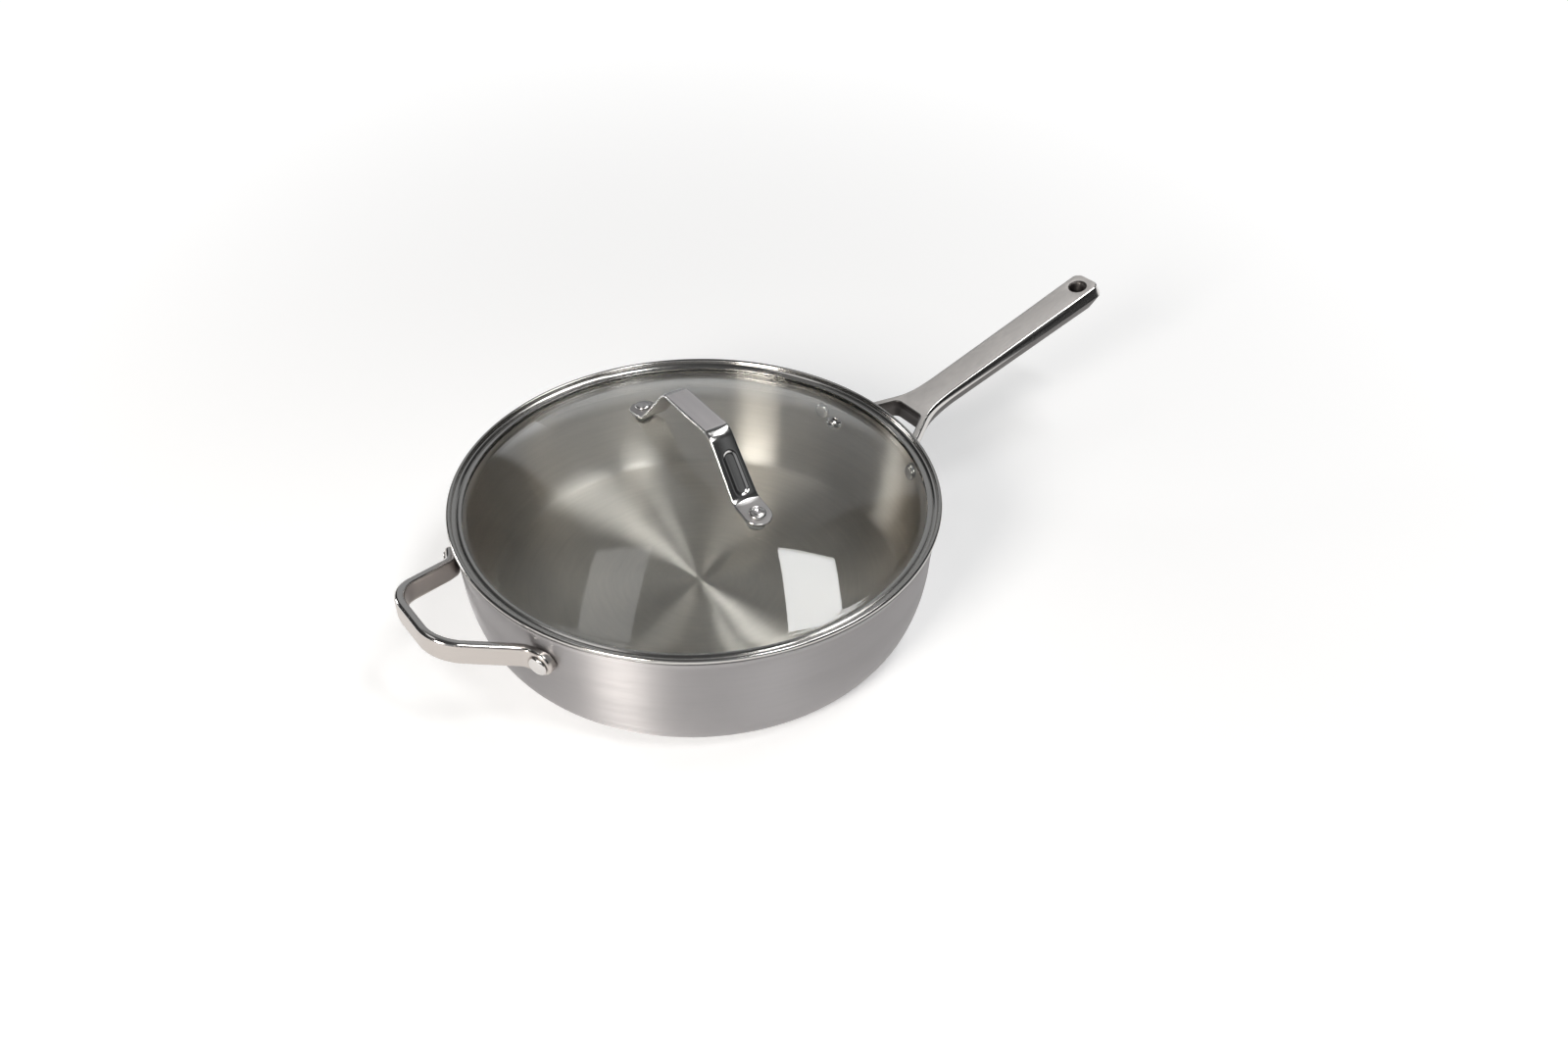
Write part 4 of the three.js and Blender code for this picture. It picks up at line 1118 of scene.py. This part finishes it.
def build_vent():
    barrel = VENT_BORE + VENT_WALL
    washer_top = -(GLASS_THICKNESS + INNER_SEAT_GAP)
    flare_top = washer_top - VENT_FOOT - GAP
    flare = (barrel + VENT_FLANGE) / 2
    top = GAP + VENT_FLANGE_HEIGHT
    profile = rounded([
        (VENT_BORE, flare_top - VENT_WALL, 0.0), (flare, flare_top - VENT_WALL, 0.3), (flare, flare_top, 0.2),
        (barrel, flare_top, 0.0), (barrel, GAP, 0.0), (VENT_FLANGE, GAP, 0.1), (VENT_FLANGE, GAP + 0.3, 0.25),
        (barrel + VENT_WALL, top, 0.4), (VENT_BORE, top, 0.4), (VENT_BORE, flare_top - VENT_WALL, 0.0),
    ], 5)
    fasten("steam_vent_eyelet", profile, [VENT_SPOT], POLISHED_STEEL, "bright_steel", "vent_eyelet")
    washer = ring(barrel + HOLE_CLEARANCE, VENT_FLANGE, washer_top - VENT_FOOT, washer_top, 0.15)
    fasten("steam_vent_washer", washer, [VENT_SPOT], POLISHED_STEEL, "bright_steel", "vent_washer")


# Floor and light, in metres and degrees
FLOOR_REACH = 60.0
FLOOR_LEVEL = -0.0004
FLOOR_GLOW = (0.36, 0.8)
GLOW_RISE = (0.25, 1.4)
STUDIO_TINT = (0.96, 0.98, 1.0)
CEILING_GLOW = (0.03, 0.06)
CEILING_RISE = (25.0, 60.0)
BACKDROP_LEVEL = 0.55
BACKDROP_FALL = (0.5, 9.0)
BACK_CARD_SIDES = (12, 84)
BACK_CARD_DISTANCE = 0.42
BACK_CARD_HEIGHT = 0.16
BACK_CARD_LEVEL = 0.25
PANEL_DISTANCE = 1.5
PANEL_TARGET = (0, 0, 0.04)
WHITE = (1, 1, 1)
WARM = (1.0, 0.96, 0.91)

# Panels overhead by place, size, radiance and turn
OVERHEAD_PANELS = [
    ("overhead_right", (0.73, -0.17), (0.68, 0.40), 6.6, 61),
    ("overhead_left", (-0.29, 0.52), (0.72, 0.37), 0.9, 44),
]
# Standing panels by azimuth, elevation, size, radiance and colour
STANDING_PANELS = [
    ("front_left", -157.5, 31, (0.42, 0.50), 22.0, WARM),
    ("front_right", -79, 62, (0.22, 0.44), 15.0, WHITE),
    ("back_left", 122, 18, (0.28, 0.28), 11.0, WHITE),
]
# Cards by right side, left side, lowest and highest elevation, softness at sides and top, and strength
STUDIO_CARDS = [
    ((18.5, 19.5), (81, 87.5), -6, 52, 0.7, 10, 0.33),
    ((-144, -144), (-96, -96), 5, 50, 4, 4, 0.28),
    ((-66, -66), (-48, -48), 24, 42, 6, 6, 0.12),
]
# A dark flag that keeps the backdrop out of the long handle's side
DARK_FLAG = ((-96, -96), (-28, -28), -2, 20, 6, 4, 0.95)
# How far up the second azimuth of a card's side is taken
CARD_SIDE_HEIGHT = 40


def sheet(name, finish_name, corners, faces):
    """A sheet with a finish that does not shine."""
    mesh = bpy.data.meshes.new(name)
    mesh.from_pydata(corners, [], faces)
    finish, tree, shader = new_finish(finish_name)
    fill(shader, {"Specular IOR Level": 0.0})
    mesh.materials.append(finish)
    return linked(name, mesh), tree, shader


def build_floor():
    ends = (-FLOOR_REACH, FLOOR_REACH)
    corners = [(x, y, FLOOR_LEVEL) for x in ends for y in ends]
    floor, tree, shader = sheet("floor", "pale_floor", corners, [(0, 2, 3, 1)])
    path = node(tree, "ShaderNodeLightPath")
    seen = maths("MAXIMUM", path["Is Camera Ray"], path["Is Transmission Ray"])
    seen = maths("MAXIMUM", seen, path["Is Glossy Ray"])
    away = vectors("LENGTH", object_place(tree), output=1)
    fill(shader, {
        "Base Color": (0.80, 0.80, 0.80, 1), "Roughness": 1.0, "Emission Color": (*WHITE, 1),
        "Emission Strength": times(seen, ranged(away, *GLOW_RISE, *FLOOR_GLOW)),
    })


def build_back_card():
    """A low grey card that stands behind the pan, seen only in reflections."""
    spots = arc((0, 0), (BACK_CARD_DISTANCE,) * 2, *BACK_CARD_SIDES, 24)
    count = len(spots)
    corners = [(x, y, z) for z in (0.0, BACK_CARD_HEIGHT) for x, y in spots]
    faces = [(i, i + 1, count + i + 1, count + i) for i in range(count - 1)]
    card, _, shader = sheet("back_card", "grey_card", corners, faces)
    fill(shader, {
        "Base Color": (0, 0, 0, 1), "Emission Color": (*STUDIO_TINT, 1), "Emission Strength": BACK_CARD_LEVEL,
    })
    card.visible_camera = card.visible_diffuse = card.visible_transmission = card.visible_shadow = False


def soft_light(name, place, target, size, radiance, turn, colour):
    """A soft panel of light, its power found from its radiance and area."""
    data = bpy.data.lights.new(name, "AREA")
    data.shape = "RECTANGLE"
    data.size, data.size_y = size
    data.energy = radiance * size[0] * size[1] * pi
    data.color = colour
    aimed(name, data, place, target, turn).visible_camera = False


def way_of(azimuth, elevation):
    a, e = radians(azimuth), radians(elevation)
    return Vector((cos(a) * cos(e), sin(a) * cos(e), sin(e)))


def studio_card(way, height, right, left, low, high, soft, soft_top, strength):
    """Light from a card far off; each side is straight and given by two azimuths, the second higher up."""
    blur = sin(radians(soft))
    light = times(ranged(height, low - soft, low + soft), ranged(height, high + soft_top, high - soft_top))
    for side, turn in ((right, -1), (left, 1)):
        inwards = way_of(side[0], 0).cross(way_of(side[1], CARD_SIDE_HEIGHT)).normalized() * turn
        inside = vectors("DOT_PRODUCT", way, tuple(inwards), output=1)
        light = times(light, ranged(inside, -blur, blur))
    return times(light, strength)


def build_studio():
    world = bpy.data.worlds.new("studio")
    world.use_nodes = True
    tree = world.node_tree
    way = node(tree, "ShaderNodeTexCoord")["Generated"]
    up = after("ShaderNodeSeparateXYZ", {0: way})["Z"]
    height = maths("DEGREES", maths("ARCSINE", up))
    light = ranged(height, *CEILING_RISE, *CEILING_GLOW, "LINEAR")
    backdrop = ranged(height, *BACKDROP_FALL, BACKDROP_LEVEL, 0.0)
    in_metal = node(tree, "ShaderNodeLightPath")["Is Glossy Ray"]
    flag = times(studio_card(way, height, *DARK_FLAG), in_metal)
    light = maths("ADD", light, times(backdrop, maths("SUBTRACT", 1.0, flag)))
    for card in STUDIO_CARDS:
        light = maths("ADD", light, studio_card(way, height, *card))
    fill(tree.nodes["Background"], {"Color": (*STUDIO_TINT, 1), "Strength": light})
    bpy.context.scene.world = world


def build_light():
    for name, (x, y), size, radiance, turn in OVERHEAD_PANELS:
        soft_light(name, (x, y, PANEL_DISTANCE), (x, y, 0), size, radiance, turn, WHITE)
    for name, azimuth, elevation, size, radiance, colour in STANDING_PANELS:
        place = way_of(azimuth, elevation) * PANEL_DISTANCE
        soft_light(name, place, PANEL_TARGET, size, radiance, 0.0, colour)
    build_back_card()
    build_studio()
    bpy.context.scene.view_settings.view_transform = "Standard"


set_camera()
TURNED, BAR, PLACED = turned_tree(), bar_tree(), placed_tree()
OUTSIDE_STEEL = steel("outside_satin_steel", (0.45, 0.435, 0.437), 0.46, (300, 3, 300), 0.06, 0.95, True, 0.14)
INSIDE_STEEL = steel("inside_satin_steel", (0.77, 0.725, 0.67), 0.42, (420, 3, 420), 0.06, 1.0, True, 0.16)
CORE_ALUMINIUM = steel("rim_core_aluminium", (0.70, 0.71, 0.72), 0.4, (500, 2, 500), 0.05, 0.0, True)
SATIN_HANDLE = steel("satin_long_handle", (0.80, 0.77, 0.745), 0.60, (25, 700, 700), 0.05, shade=0.12)
SATIN_HELPER = steel("satin_helper_handle", (0.55, 0.51, 0.48), 0.33, (25, 25, 900), 0.05)
SATIN_STRAP = steel("satin_lid_strap", (0.72, 0.695, 0.70), 0.58, (700, 25, 25), 0.05, shade=0.12)
# The strap's foot: a satin finish, its colour darkened below the strap's other steel as painted shade
SATIN_FOOT_PAINTED_SHADE = steel("satin_strap_foot", (0.50, 0.485, 0.48), 0.40, (25, 700, 25), 0.05, shade=0.12)
POLISHED_STRAP = steel("polished_lid_strap", (0.66, 0.65, 0.64), 0.13, (60, 60, 60), 0.0, shade=0.02)
POLISHED_STEEL = steel("polished_steel", (0.66, 0.64, 0.62), 0.12, (60, 60, 60), 0.0, shade=0.02)
BAND_STEEL = steel("polished_band", (0.56, 0.545, 0.525), 0.16, (600, 2, 600), 0.0, 0.0, True, 0.03)
# Nearly black steel: painted shade and painted dark reflection under the long handle, on its lower side, inside the
# fork and in its hole; only its higher roughness is a real duller finish
PAINTED_SHADE_STEEL = steel("dull_handle_underside", (0.115, 0.105, 0.10), 0.45, (40, 400, 400), 0.03, shade=0.1)
SATIN_RIVET = steel("satin_lid_rivet", (0.72, 0.70, 0.69), 0.25, (60, 60, 60), 0.0, shade=0.04)
CLEAR_GLASS = clear_glass()
SILICONE = soft_silicone()

build_pan()
build_rivets()
build_long_handle()
build_helper_handle()
build_glass()
build_band()
build_strap()
build_fastenings()
build_vent()
build_floor()
build_light()
